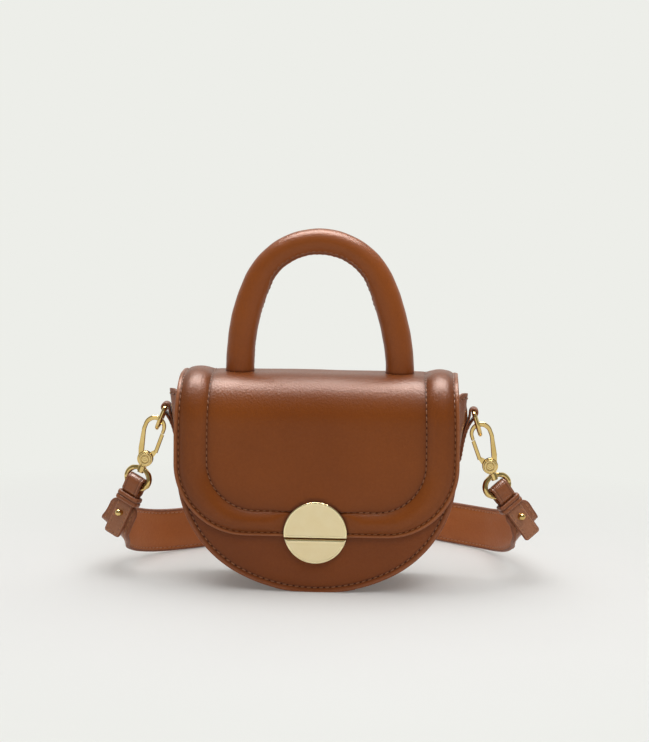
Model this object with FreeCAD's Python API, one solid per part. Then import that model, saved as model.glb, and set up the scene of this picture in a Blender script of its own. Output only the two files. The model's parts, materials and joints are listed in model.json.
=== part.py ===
import FreeCAD, Part
import math
import os
from FreeCAD import Vector as V

os.makedirs("parts", exist_ok=True)

# ---------------------------------------------------------------- driving dimensions, mm
# frame: +X to the right of the bag, front faces -Y, +Z up, origin on the rest face
BODY_HALF_W = 97.1     # front and back panel, half width where the sides begin
BODY_TOP_HALF_W = 98.6 # sides lean out slightly up to the panels' tops
CORNER_R = 81.2        # round lower corners
CORNER_ZC = 84.0       # height of the corners' centres
SETTLE = 0.9           # how much of the round bottom is pressed flat
BODY_HALF_DEPTH = 36.0
PANEL_T = 2.0          # outer leather
BOARD_T = 1.2
LINING_T = 0.8
FRONT_TOP_Z = 117.5
BACK_TOP_Z = 123.8
GUSSET_SET_IN = 0.6    # gusset outside face, in from the panels' edges
GUSSET_T = 1.8
GUSSET_TOP_Z = 131.0
GUSSET_TOP_X = 101.8   # the gusset's ends lean outward to here

FLAP_HALF_W = 98.9
FLAP_LOW_Z = 40.0
FLAP_CORNER_R = 50.0
FLAP_IN_Y = -36.6      # inner face in front of the front panel
FLAP_TOP_IN_Z = 145.2  # inner face under the top
FLAP_FRONT_R = 26.0    # inner radius, front top edge
FLAP_BACK_R = 20.0     # inner radius, back top edge
FLAP_LINING_T = 1.0
FLAP_PAD_T = 2.2
FLAP_COVER_T = 1.6
HINGE_Y, HINGE_Z = 35.2, 125.0

HANDLE_HALF_SPAN = 55.8
HANDLE_SIDE_R = 162.5
HANDLE_TOP_R = 46.5
HANDLE_TUBE_R = 9.6
HANDLE_CORE_R = 7.8
HANDLE_Y = 0.3

LOCK_R = 22.0
LOCK_ZC = 43.0
LOCK_SLIT_Z = 39.8
LOCK_GAP = 0.8

BAR_X, BAR_Z = 108.5, 123.8   # bar of the D-ring in its tab
DRING_WIRE_R = 1.5
DRING_HALF_W = 9.0
DRING_LEN = 16.8              # bar centre to bottom centre
DRING_LEAN = {1: 17.5, -1: 22.5}  # degrees outward, right and left
TAB_W = 11.0

BOSS_AT = {1: (120.8, 85.6), -1: (123.3, 86.1)}  # rivet of the snap hook, right and left
AXIS_LEAN = 20.0              # swivel axis from vertical, degrees
RING_TURN = 25.0              # ring turned about the swivel axis, degrees
RING_OUT_R = 9.3              # slightly oval ring, half height and half width outside
RING_OUT_W = 10.8
RING_WIRE = 3.2
RING_IN_R = RING_OUT_R - RING_WIRE
RING_HALF_T = 1.7
RING_DROP = 15.1              # boss centre to ring centre
TAIL_TURN = {1: 17.0, -1: 4.7}  # tail from the swivel axis, right and left, degrees
TAIL_W = 13.5
TAIL_T = 2.2
TAIL_END = 45.0
STUD_AT = 27.8

STRAP_W = 32.0
STRAP_END_W = 24.0            # narrower where it meets the strap ends
STRAP_T = 3.0
# where the strap lies on its edge behind the bag, seen from above, right to left
STRAP_PLAN = [(139.0, 113.5), (22.0, 205.5), (70.0, 262.0), (38.0, 306.0),
              (-38.0, 306.0), (-72.0, 256.0), (-24.0, 172.0), (-131.0, 76.0)]


# ---------------------------------------------------------------- helpers
def seg(a, b):
    return Part.LineSegment(a, b).toShape()


def arc(a, b, c):
    return Part.Arc(a, b, c).toShape()


def face(edges):
    return Part.Face(Part.Wire(edges))


def poly(points):
    return Part.Face(Part.makePolygon(points + [points[0]]))


def box(x0, x1, y0, y1, z0, z1):
    return Part.makeBox(x1 - x0, y1 - y0, z1 - z0, V(x0, y0, z0))


def cyl(r, p, q):
    d = q.sub(p)
    return Part.makeCylinder(r, d.Length, p, d)


def one(shape):
    shape = shape.removeSplitter()
    if shape.ShapeType == "Compound" and len(shape.Solids) == 1:
        return shape.Solids[0]
    return shape


def save(node, shape):
    shape = one(shape)
    assert shape.isValid() and shape.Volume > 0, node
    print(node, "solids", len(shape.Solids), "cm3", round(shape.Volume / 1000.0, 3))
    shape.exportStep("parts/%s.step" % node)


def placed(shape, origin, ax, ay, az):
    m = FreeCAD.Matrix(ax.x, ay.x, az.x, origin.x,
                       ax.y, ay.y, az.y, origin.y,
                       ax.z, ay.z, az.z, origin.z,
                       0, 0, 0, 1)
    out = shape.copy()
    out.Placement = FreeCAD.Placement(m).multiply(out.Placement)
    return out


def mirrored(shape):
    return shape.mirror(V(0, 0, 0), V(1, 0, 0))


CORNER_XC = BODY_HALF_W - CORNER_R
BOTTOM_R = (CORNER_XC ** 2 + (SETTLE + CORNER_ZC) ** 2 - CORNER_R ** 2) / (2 * (SETTLE + CORNER_ZC - CORNER_R))
BOTTOM_ZC = BOTTOM_R - SETTLE
JOIN = math.atan2(BOTTOM_ZC - CORNER_ZC, CORNER_XC)   # where corner and bottom arcs meet, down from level


def u_face(i, y, x_top, z_top, z_flat=None):
    """Sack outline i mm in from the panels' edge, its sides carried up to z_top, in a plane of constant y."""
    a, rc, rb = BODY_HALF_W - i, CORNER_R - i, BOTTOM_R - i

    def corner(ang):
        return CORNER_XC + rc * math.cos(ang), CORNER_ZC - rc * math.sin(ang)

    def bottom(ang):
        return rb * math.cos(ang), BOTTOM_ZC - rb * math.sin(ang)

    def pair(xz):
        return V(-xz[0], y, xz[1]), V(xz[0], y, xz[1])

    lt, rt = pair((x_top, z_top))
    lm, rm = pair((a, CORNER_ZC))
    lk, rk = pair(corner(JOIN / 2))
    lj, rj = pair(bottom(JOIN))
    if z_flat is not None and BOTTOM_ZC - rb < z_flat:
        end = math.asin((BOTTOM_ZC - z_flat) / rb)
        lc, rc_ = pair(bottom(end))
        lb, rb_ = pair(bottom((JOIN + end) / 2))
        low = [arc(lj, lb, lc), seg(lc, rc_), arc(rc_, rb_, rj)]
    else:
        low = [arc(lj, V(0, y, BOTTOM_ZC - rb), rj)]
    return face([seg(lt, lm), arc(lm, lk, lj)] + low + [arc(rj, rk, rm), seg(rm, rt), seg(rt, lt)])


def u_plate(i, y0, y1, z_top, x_top=None, z_flat=None):
    return u_face(i, y0, BODY_HALF_W - i if x_top is None else x_top, z_top, z_flat).extrude(V(0, y1 - y0, 0))


# ---------------------------------------------------------------- body: panels, boards, linings
D = BODY_HALF_DEPTH
front_panel = u_plate(0, -D, -D + PANEL_T, FRONT_TOP_Z, BODY_TOP_HALF_W, 0.0)
back_panel = u_plate(0, D - PANEL_T, D, BACK_TOP_Z, BODY_TOP_HALF_W, 0.0)

g = D - PANEL_T
gi = GUSSET_SET_IN + GUSSET_T
gusset_slope = (GUSSET_TOP_X - BODY_HALF_W + GUSSET_SET_IN) / (GUSSET_TOP_Z - CORNER_ZC)
gusset_out = u_face(GUSSET_SET_IN, -g, GUSSET_TOP_X, GUSSET_TOP_Z, 0.0).extrude(V(0, 2 * g, 0))
gusset_in = u_face(gi, -g - 1, BODY_HALF_W - gi + gusset_slope * (150.0 - CORNER_ZC), 150.0).extrude(V(0, 2 * g + 2, 0))
gusset = gusset_out.cut(gusset_in)

board_i = gi + 0.1
front_board = u_plate(board_i, -g, -g + BOARD_T, FRONT_TOP_Z - 2.0)
back_board = u_plate(board_i, g - BOARD_T, g, BACK_TOP_Z - 1.0)
b = g - BOARD_T
front_lining = u_plate(board_i, -b, -b + LINING_T, FRONT_TOP_Z - 0.5)
back_lining = u_plate(board_i, b - LINING_T, b, BACK_TOP_Z - 0.5)
c = b - LINING_T
gusset_board = u_plate(gi, -c, c, 100.4).cut(u_plate(gi + BOARD_T, -c - 1, c + 1, 102.4))
gusset_lining = u_plate(gi + BOARD_T, -c, c, 126.0).cut(u_plate(gi + BOARD_T + LINING_T, -c - 1, c + 1, 130.0))

POCKET_HALF_W, POCKET_LOW, POCKET_TOP = 56.0, 38.0, 104.0
inner_pocket = box(-POCKET_HALF_W, POCKET_HALF_W, c - 3.0, c, POCKET_LOW, POCKET_TOP).cut(
    box(-POCKET_HALF_W + 1.2, POCKET_HALF_W - 1.2, c - 2.2, c - 0.6, POCKET_LOW + 1.2, POCKET_TOP + 1.0))

# ---------------------------------------------------------------- lower lock segment on the front panel
disc = cyl(LOCK_R, V(0, 0, LOCK_ZC), V(0, -60, LOCK_ZC))
LOW_PLATE_Y = -D - 4.4
low_plate = disc.common(box(-30, 30, LOW_PLATE_Y, -D, 0, LOCK_SLIT_Z - LOCK_GAP / 2))
low_front = [e for e in low_plate.Edges if all(abs(v.Point.y - LOW_PLATE_Y) < 1e-6 for v in e.Vertexes)]
lock_lower_plate = low_plate.makeChamfer(0.8, low_front)
LOW_MAG_Z = 30.0
lock_lower_magnet = cyl(7.0, V(0, -g, LOW_MAG_Z), V(0, -g + BOARD_T, LOW_MAG_Z))
low_rivets = []
for sx in (-1, 1):
    p = V(sx * 12.0, -D, 32.0)
    shank = cyl(1.2, p, V(p.x, -g, p.z))
    head = cyl(2.6, V(p.x, -g, p.z), V(p.x, -g + 0.8, p.z))
    low_rivets.append(shank.fuse(head))
    front_panel = front_panel.cut(shank)
    front_board = front_board.cut(cyl(2.6, V(p.x, -g, p.z), V(p.x, -g + BOARD_T, p.z)))
front_board = front_board.cut(lock_lower_magnet)
lock_lower_rivets = Part.makeCompound(low_rivets)

# ---------------------------------------------------------------- flap: lining, padding, cover


def flap_band(t0, t1, half_w, back_z):
    """Layer of the flap between depths t0 and t1 measured from its inner face."""
    fy, fz = FLAP_IN_Y + FLAP_FRONT_R, FLAP_TOP_IN_Z - FLAP_FRONT_R
    by, bz = HINGE_Y + 0.8 - FLAP_LINING_T - FLAP_PAD_T - FLAP_COVER_T - FLAP_BACK_R, FLAP_TOP_IN_Z - FLAP_BACK_R
    k = math.sqrt(0.5)

    def line(t):
        rf, rb = FLAP_FRONT_R + t, FLAP_BACK_R + t
        return (V(-half_w, fy - rf, 20), V(-half_w, fy - rf, fz), V(-half_w, fy - rf * k, fz + rf * k),
                V(-half_w, fy, fz + rf), V(-half_w, by, bz + rb), V(-half_w, by + rb * k, bz + rb * k),
                V(-half_w, by + rb, bz))
    i, o = line(t0), line(t1)
    edges = [seg(i[0], i[1]), arc(i[1], i[2], i[3]), seg(i[3], i[4]), arc(i[4], i[5], i[6]), seg(i[6], o[6]),
             arc(o[6], o[5], o[4]), seg(o[4], o[3]), arc(o[3], o[2], o[1]), seg(o[1], o[0]), seg(o[0], i[0])]
    solid = face(edges).extrude(V(2 * half_w, 0, 0))
    return solid.cut(box(-120, 120, 15, 60, 90, back_z))


def flap_outline(half_w, low, r):
    k = math.sqrt(0.5)
    xc, zc = half_w - r, low + r
    e = [seg(V(-half_w, -80, 180), V(-half_w, -80, zc)),
         arc(V(-half_w, -80, zc), V(-xc - r * k, -80, zc - r * k), V(-xc, -80, low)),
         seg(V(-xc, -80, low), V(xc, -80, low)),
         arc(V(xc, -80, low), V(xc + r * k, -80, zc - r * k), V(half_w, -80, zc)),
         seg(V(half_w, -80, zc), V(half_w, -80, 180)), seg(V(half_w, -80, 180), V(-half_w, -80, 180))]
    return face(e).extrude(V(0, 160, 0))


t1, t2 = FLAP_LINING_T, FLAP_LINING_T + FLAP_PAD_T
t3 = t2 + FLAP_COVER_T
flap_lining = flap_band(0, t1, FLAP_HALF_W - 0.3, 130.5).common(
    flap_outline(FLAP_HALF_W - 0.3, FLAP_LOW_Z + 0.3, FLAP_CORNER_R - 0.3))
flap_padding = flap_band(t1, t2, FLAP_HALF_W - 5.0, 134.0).common(
    flap_outline(FLAP_HALF_W - 5.0, FLAP_LOW_Z + 5.0, FLAP_CORNER_R - 5.0))
flap_cover = flap_band(t2, t3, FLAP_HALF_W, HINGE_Z + 0.9).common(
    flap_outline(FLAP_HALF_W, FLAP_LOW_Z, FLAP_CORNER_R))

# ---------------------------------------------------------------- upper lock segment on the flap
FLAP_OUT_Y = FLAP_IN_Y - t3
UP_PLATE_Y = FLAP_OUT_Y - 2.2
up_plate = disc.common(box(-30, 30, UP_PLATE_Y, FLAP_OUT_Y, LOCK_SLIT_Z + LOCK_GAP / 2, 80))
up_front = [e for e in up_plate.Edges if all(abs(v.Point.y - UP_PLATE_Y) < 1e-6 for v in e.Vertexes)]
lock_upper_plate = up_plate.makeChamfer(0.8, up_front)
UP_MAG_Z = 52.5
lock_upper_magnet = cyl(8.5, V(0, FLAP_IN_Y - t1, UP_MAG_Z), V(0, FLAP_IN_Y - t2, UP_MAG_Z))
flap_padding = flap_padding.cut(lock_upper_magnet)
up_rivets = []
for sx in (-1, 1):
    p = V(sx * 13.5, FLAP_OUT_Y, 51.0)
    shank = cyl(1.2, p, V(p.x, FLAP_IN_Y - t1 - 0.8, p.z))
    head = cyl(2.6, V(p.x, FLAP_IN_Y - t1 - 0.8, p.z), V(p.x, FLAP_IN_Y - t1, p.z))
    up_rivets.append(shank.fuse(head))
    flap_cover = flap_cover.cut(shank)
    flap_padding = flap_padding.cut(shank).cut(head)
lock_upper_rivets = Part.makeCompound(up_rivets)

# ---------------------------------------------------------------- top handle on the flap
FLAP_TOP_Z = FLAP_TOP_IN_Z + t3
cx = HANDLE_HALF_SPAN - HANDLE_SIDE_R
top_zc = FLAP_TOP_Z + math.sqrt((HANDLE_SIDE_R - HANDLE_TOP_R) ** 2 - cx * cx)
side_angle = math.degrees(math.atan2(top_zc - FLAP_TOP_Z, -cx))


def handle_tube(r):
    right = Part.Face(Part.Wire(Part.makeCircle(r, V(HANDLE_HALF_SPAN, HANDLE_Y, FLAP_TOP_Z), V(0, 0, 1))))
    leg = right.revolve(V(cx, HANDLE_Y, FLAP_TOP_Z), V(0, -1, 0), side_angle)
    a = math.radians(side_angle)
    p = V(HANDLE_TOP_R * math.cos(a), HANDLE_Y, top_zc + HANDLE_TOP_R * math.sin(a))
    ring = Part.Face(Part.Wire(Part.makeCircle(r, p, V(-math.sin(a), 0, math.cos(a)))))
    top = ring.revolve(V(0, HANDLE_Y, top_zc), V(0, -1, 0), 180.0 - 2 * side_angle)
    return leg.fuse(top).fuse(mirrored(leg)).removeSplitter()


core_solid = handle_tube(HANDLE_CORE_R)
handle_cover = handle_tube(HANDLE_TUBE_R).cut(core_solid)
handle_core = core_solid
WASHER_T, HEAD_T = 1.2, 1.8
handle_screw, handle_washer = {}, {}
for sx in (-1, 1):
    x = sx * HANDLE_HALF_SPAN
    z0 = FLAP_TOP_IN_Z
    shank = cyl(2.0, V(x, HANDLE_Y, z0 - WASHER_T), V(x, HANDLE_Y, FLAP_TOP_Z + 14.0))
    head = cyl(4.2, V(x, HANDLE_Y, z0 - WASHER_T - HEAD_T), V(x, HANDLE_Y, z0 - WASHER_T))
    handle_screw[sx] = shank.fuse(head)
    handle_washer[sx] = cyl(8.0, V(x, HANDLE_Y, z0 - WASHER_T), V(x, HANDLE_Y, z0)).cut(shank)
    flap_lining = flap_lining.cut(shank)
    flap_padding = flap_padding.cut(shank)
    flap_cover = flap_cover.cut(shank)
    handle_core = handle_core.cut(shank)

# ---------------------------------------------------------------- D-ring tab and D-ring, right side
LOOP_IN_R = DRING_WIRE_R + 0.3
LOOP_OUT_R = LOOP_IN_R + 1.7
bar = V(BAR_X, 0, BAR_Z)
stem = poly([V(BAR_X - LOOP_OUT_R + 0.2, -TAB_W / 2, BAR_Z + 1.0), V(BAR_X + 1.2, -TAB_W / 2, BAR_Z - LOOP_OUT_R + 0.25),
             V(104.2, -TAB_W / 2, 110.0), V(102.2, -TAB_W / 2, 100.0), V(100.9, -TAB_W / 2, 90.0), V(99.6, -TAB_W / 2, 88.0),
             V(93.0, -TAB_W / 2, 88.0), V(93.0, -TAB_W / 2, 117.0)]).extrude(V(0, TAB_W, 0))
loop = Part.makeCylinder(LOOP_OUT_R, TAB_W, V(BAR_X, -TAB_W / 2, BAR_Z), V(0, 1, 0))
hole = Part.makeCylinder(LOOP_IN_R, TAB_W + 2, V(BAR_X, -TAB_W / 2 - 1, BAR_Z), V(0, 1, 0))
tab = stem.fuse(loop).cut(hole).cut(gusset_out).cut(gusset_in)
tab = max(tab.Solids, key=lambda s: s.Volume)

# D-ring in its own plane: local x along the bar, local y from the bar to the bottom
w, n = DRING_HALF_W, DRING_LEN
k = 2.4
leg_len = n - w - k


def wire_arc(centre, radius, a0, a1):
    p = V(centre[0] + radius * math.cos(math.radians(a0)), centre[1] + radius * math.sin(math.radians(a0)), 0)
    t = V(-math.sin(math.radians(a0)), math.cos(math.radians(a0)), 0)
    f = Part.Face(Part.Wire(Part.makeCircle(DRING_WIRE_R, p, t)))
    return f.revolve(V(centre[0], centre[1], 0), V(0, 0, 1), a1 - a0)


dring = cyl(DRING_WIRE_R, V(-w + k, 0, 0), V(w - k, 0, 0))
dring = dring.fuse([wire_arc((w - k, k), k, -90, 0), wire_arc((-w + k, k), k, 180, 270),
                    cyl(DRING_WIRE_R, V(w, k, 0), V(w, k + leg_len, 0)),
                    cyl(DRING_WIRE_R, V(-w, k, 0), V(-w, k + leg_len, 0)),
                    wire_arc((0, k + leg_len), w, 0, 180)]).removeSplitter()
dring_at, dring_down = {}, {}
for side in (1, -1):
    lean = math.radians(DRING_LEAN[side])
    down = V(math.sin(lean), 0, -math.cos(lean))
    dring_down[side] = down
    dring_at[side] = placed(dring, bar, V(0, 1, 0), down, V(0, 1, 0).cross(down))

# ---------------------------------------------------------------- snap hook, right side
# hook plane: local x towards the gate, local y up the swivel axis, local z through the hook
s, cz = math.sin(math.radians(AXIS_LEAN)), math.cos(math.radians(AXIS_LEAN))
boss = {side: V(x, 0, z) for side, (x, z) in BOSS_AT.items()}
HX, HY, HZ = V(-cz, 0, -s), V(-s, 0, cz), V(0, 1, 0)
BOSS_R, BOSS_HALF_T = 5.6, 2.4
ARM_HALF_T = 1.6
PIN_R = 1.2
SLOT_HALF_T = 1.5
GATE_TIP_R, NOSE_R = 21.4, 21.84


def hp(x, y):
    return V(x, 1.05 * y, 0)


arm = face([seg(hp(-5.0, 0), hp(-7.2, 6.0)), seg(hp(-7.2, 6.0), hp(-9.2, 17.0)),
            arc(hp(-9.2, 17.0), hp(-9.6, 19.5), hp(-9.5, 22.0)),
            arc(hp(-9.5, 22.0), hp(-1.4, 30.6), hp(6.5, 22.6)),
            seg(hp(6.5, 22.6), hp(6.5, 19.0)), seg(hp(6.5, 19.0), hp(4.0, 19.0)),
            seg(hp(4.0, 19.0), hp(4.0, 22.4)),
            arc(hp(4.0, 22.4), hp(-1.2, 27.5), hp(-6.6, 22.0)),
            arc(hp(-6.6, 22.0), hp(-6.6, 19.5), hp(-6.1, 17.0)),
            seg(hp(-6.1, 17.0), hp(-2.6, 4.4)), seg(hp(-2.6, 4.4), hp(-1.0, 0)),
            seg(hp(-1.0, 0), hp(-5.0, 0))]).extrude(V(0, 0, 2 * ARM_HALF_T))
arm.translate(V(0, 0, -ARM_HALF_T))
arm = arm.cut(Part.makeCylinder(NOSE_R, 8, V(0, 0, -4), V(0, 0, 1)).common(box(1.0, 12.6, 8.0, 25.2, -4, 4)))
arm = arm.makeFillet(0.7, [e for e in arm.Edges if all(abs(abs(v.Point.z) - ARM_HALF_T) < 1e-6 for v in e.Vertexes)
                           and min(v.Point.y for v in e.Vertexes) > 1.0])
boss_body = Part.makeCylinder(BOSS_R, 2 * BOSS_HALF_T, V(0, 0, -BOSS_HALF_T), V(0, 0, 1))
boss_body = boss_body.makeFillet(0.6, [e for e in boss_body.Edges if e.Closed and abs(abs(e.CenterOfMass.z) - BOSS_HALF_T) < 1e-6])
slot = Part.makeCylinder(4.6, 2 * SLOT_HALF_T, V(0, 0, -SLOT_HALF_T), V(0, 0, 1)).fuse(
    poly([V(-1.0, 0, 0), V(0, -4.6, 0), V(4.0, -4.6, 0), V(9, -3.0, 0), V(9, 9, 0), V(-3.0, 9, 0)]).extrude(
        V(0, 0, 2 * SLOT_HALF_T)).translated(V(0, 0, -SLOT_HALF_T)))
NECK_R, SOCKET_GAP, POST_R, POST_HEAD_R = 2.6, 0.4, 1.3, 2.3
ring_top = RING_DROP - RING_OUT_R            # distance from boss centre to the ring's outer face
SOCKET_R = 3.1
neck = cyl(NECK_R, V(0, -BOSS_R + 1.2, 0), V(0, -ring_top + SOCKET_GAP, 0))
post = cyl(POST_R, V(0, -ring_top + SOCKET_GAP, 0), V(0, -(RING_DROP - RING_IN_R) - 0.4, 0))
post_head = cyl(POST_HEAD_R, V(0, -(RING_DROP - RING_IN_R) - 0.4, 0), V(0, -(RING_DROP - RING_IN_R) - 1.6, 0))
pin_hole = Part.makeCylinder(PIN_R, 8, V(0, 0, -4), V(0, 0, 1))
hook_l = arm.fuse(boss_body).cut(slot).fuse([neck, post, post_head]).cut(pin_hole).removeSplitter()
hook_l = max(hook_l.Solids, key=lambda q: q.Volume)

EYE_HALF_T, EYE_R = 0.6, 4.1
eye = Part.makeCylinder(EYE_R, 2 * EYE_HALF_T, V(0, 0, -EYE_HALF_T), V(0, 0, 1))
web = poly([V(0, -2.0, 0), V(4.0, -1.0, 0), V(6.2, 6.9, 0), V(6.2, 9.4, 0), V(4.0, 9.4, 0), V(4.0, 8.0, 0), V(0, 4.0, 0)]).extrude(
    V(0, 0, 2 * EYE_HALF_T)).translated(V(0, 0, -EYE_HALF_T))
bar_l = box(4.0, 6.825, 6.8, 23.1, -ARM_HALF_T + 0.1, ARM_HALF_T - 0.1)
bar_l = bar_l.makeFillet(0.6, [e for e in bar_l.Edges if abs(e.tangentAt(e.FirstParameter).y) > 0.9])
bar_l = bar_l.common(Part.makeCylinder(GATE_TIP_R, 8, V(0, 0, -4), V(0, 0, 1)))
gate_l = eye.fuse([web, bar_l]).cut(Part.makeCylinder(PIN_R + 0.3, 8, V(0, 0, -4), V(0, 0, 1))).removeSplitter()
pin_l = Part.makeCylinder(PIN_R, 2 * BOSS_HALF_T, V(0, 0, -BOSS_HALF_T), V(0, 0, 1)).fuse(
    [Part.makeCylinder(2.4, 0.6, V(0, 0, -BOSS_HALF_T - 0.6), V(0, 0, 1)),
     Part.makeCylinder(2.4, 0.6, V(0, 0, BOSS_HALF_T), V(0, 0, 1))]).removeSplitter()
spring_l = Part.makeCylinder(2.4, 0.45, V(0, 0, 1.0), V(0, 0, 1)).cut(
    Part.makeCylinder(PIN_R, 4, V(0, 0, 0), V(0, 0, 1)))

hook, gate, gate_pin, gate_spring = [{side: placed(q, boss[side], HX, HY, HZ) for side in (1, -1)}
                                     for q in (hook_l, gate_l, pin_l, spring_l)]

# ---------------------------------------------------------------- swivel ring, right side
turn = math.radians(RING_TURN)
S_DOWN = V(s, 0, -cz)
OUT = V(cz, 0, s)
W_R = OUT * math.cos(turn) + V(0, 1, 0) * math.sin(turn)
N_R = OUT * math.sin(turn) + V(0, -1, 0) * math.cos(turn)
ring_c = {side: boss[side] + S_DOWN * RING_DROP for side in (1, -1)}


def oval(inset):
    e = Part.Ellipse(V(0, RING_OUT_W - inset, -RING_HALF_T), V(RING_OUT_R - inset, 0, -RING_HALF_T), V(0, 0, -RING_HALF_T))
    return Part.Face(Part.Wire(e.toShape())).extrude(V(0, 0, 2 * RING_HALF_T))


band = oval(0).cut(oval(RING_WIRE))
band = band.makeFillet(0.9, [e for e in band.Edges if e.Closed and abs(abs(e.CenterOfMass.z) - RING_HALF_T) < 1e-6])
socket = cyl(SOCKET_R, V(-RING_OUT_R, 0, 0), V(-RING_IN_R + 0.3, 0, 0))
ring_l = band.fuse(socket).cut(cyl(POST_R + 0.3, V(-RING_OUT_R - 2, 0, 0), V(-RING_IN_R + 3, 0, 0))).removeSplitter()
ring = {side: placed(ring_l, ring_c[side], S_DOWN, W_R, N_R) for side in (1, -1)}

# ---------------------------------------------------------------- strap ends, keepers, studs
FOLD_AT, FOLD_IN_R = 2.9, 2.3
OPEN_TO, CLOSED_FROM = 9.8, 12.6
SHOULDER_AT = 21.0
GAP = 0.2


def tail_frame(side):
    kap = math.radians(TAIL_TURN[side])
    d = S_DOWN * math.cos(kap) + W_R * math.sin(kap)
    wv = W_R * math.cos(kap) - S_DOWN * math.sin(kap)
    return d, wv


def strap_end(side):
    """Narrow end folded through the ring: local x along the tail, y across it, z through it."""
    i, o = FOLD_IN_R, FOLD_IN_R + TAIL_T
    fr = [V(FOLD_AT, 0, i), V(FOLD_AT, 0, o), V(OPEN_TO, 0, o), V(CLOSED_FROM, 0, GAP + TAIL_T),
          V(TAIL_END, 0, GAP + TAIL_T), V(TAIL_END, 0, GAP), V(CLOSED_FROM, 0, GAP), V(OPEN_TO, 0, i)]
    bk = [V(q.x if q.x < TAIL_END - 1 else SHOULDER_AT, 0, -q.z) for q in fr]
    bend = Part.makeCylinder(o, TAIL_W, V(FOLD_AT, -TAIL_W / 2, 0), V(0, 1, 0)).cut(
        Part.makeCylinder(i, TAIL_W + 2, V(FOLD_AT, -TAIL_W / 2 - 1, 0), V(0, 1, 0))).cut(
        box(FOLD_AT, FOLD_AT + 10, -20, 20, -10, 10))
    front = poly(fr).extrude(V(0, TAIL_W, 0)).translated(V(0, -TAIL_W / 2, 0))
    tip = [e for e in front.Edges if abs(e.Vertexes[0].Point.x - TAIL_END) < 1e-6 and abs(e.Vertexes[-1].Point.x - TAIL_END) < 1e-6
           and abs(e.tangentAt(e.FirstParameter).z) > 0.9]
    front = front.makeFillet(2.4, tip)
    back = poly(bk).extrude(V(0, TAIL_W, 0)).translated(V(0, -TAIL_W / 2, 0))
    return bend.fuse([front, back]).removeSplitter()


STRAP_MID_N = -(GAP + STRAP_T / 2)
stud_hole = cyl(1.2, V(STUD_AT, 0, -8), V(STUD_AT, 0, 3))
stud_l = cyl(1.2, V(STUD_AT, 0, -GAP - STRAP_T), V(STUD_AT, 0, 4.2)).fuse(
    [cyl(3.0, V(STUD_AT, 0, -GAP - STRAP_T - 0.9), V(STUD_AT, 0, -GAP - STRAP_T)),
     cyl(2.2, V(STUD_AT, 0, GAP + TAIL_T), V(STUD_AT, 0, GAP + TAIL_T + 0.6)),
     Part.makeSphere(2.5, V(STUD_AT, 0, 5.0))]).removeSplitter()
KEEP_C, KEEP_LEN, KEEP_T = 16.0, 6.4, 1.6
kw, kh = TAIL_W / 2 + 0.4, GAP + TAIL_T + 0.3
keeper_l = box(KEEP_C - KEEP_LEN / 2, KEEP_C + KEEP_LEN / 2, -kw - KEEP_T, kw + KEEP_T, -kh - KEEP_T, kh + KEEP_T)
keeper_l = keeper_l.makeFillet(1.2, [e for e in keeper_l.Edges if abs(e.tangentAt(e.FirstParameter).x) > 0.9])
keeper_l = keeper_l.cut(box(KEEP_C - 10, KEEP_C + 10, -kw, kw, -kh, kh))


def in_tail(shape, side):
    d, wv = tail_frame(side)
    out = placed(shape, ring_c[side], d, wv, N_R)
    return out if side > 0 else mirrored(out)


# strap from the shoulders down to the floor: flat sections joined by straight rules
def bez(p, t):
    q = 1 - t
    return p[0] * (q ** 3) + p[1] * (3 * q * q * t) + p[2] * (3 * q * t * t) + p[3] * (t ** 3)


def bez_d(p, t):
    q = 1 - t
    return (p[1] - p[0]) * (3 * q * q) + (p[2] - p[1]) * (6 * q * t) + (p[3] - p[2]) * (3 * t * t)


def section(c0, wv, nv, width, thick):
    a, bb = wv * (width / 2), nv * (thick / 2)
    return Part.makePolygon([c0 + a + bb, c0 - a + bb, c0 - a - bb, c0 + a - bb, c0 + a + bb])


FLAT_TO = 30.9   # strap lies flat on the tail's back down to here
RISE_END = {1: (V(139.0, 113.5, STRAP_W / 2), V(-117.0, 92.0, 0)), -1: (V(131.0, 76.0, STRAP_W / 2), V(-107.0, 96.0, 0))}


def strap_rise(side):
    d, wv = tail_frame(side)
    secs = []
    for h, width in ((SHOULDER_AT, TAIL_W), (21.8, 17.4), (23.0, 20.6), (24.8, 22.8), (27.0, STRAP_END_W), (FLAT_TO, STRAP_END_W)):
        secs.append(section(ring_c[side] + d * h + N_R * STRAP_MID_N, wv, N_R, width, STRAP_T))
    end, head = RISE_END[side]
    head = head * (1.0 / head.Length)
    p0 = ring_c[side] + d * FLAT_TO + N_R * STRAP_MID_N
    k1, k2 = (15.0, 14.0) if side > 0 else (14.0, 13.0)
    p = [p0, p0 + d * k1, end - head * k2, end]
    length, last = 0.0, p0
    for j in range(1, 15):
        t = j / 14.0
        c0, tan = bez(p, t), bez_d(p, t)
        tan = tan * (1.0 / tan.Length)
        up = wv * (1 - t) + V(0, 0, 1) * t
        up = up - tan * up.dot(tan)
        up = up * (1.0 / up.Length)
        nv = tan.cross(up)
        nv = nv * (1.0 / nv.Length)
        length += c0.sub(last).Length
        last = c0
        secs.append(section(c0, up, nv, STRAP_END_W + (STRAP_W - STRAP_END_W) * t, STRAP_T))
    print("rise", side, "length", round(length + FLAT_TO - SHOULDER_AT, 1))
    solid = Part.makeLoft(secs, True, True)
    return solid if side > 0 else mirrored(solid)


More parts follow.
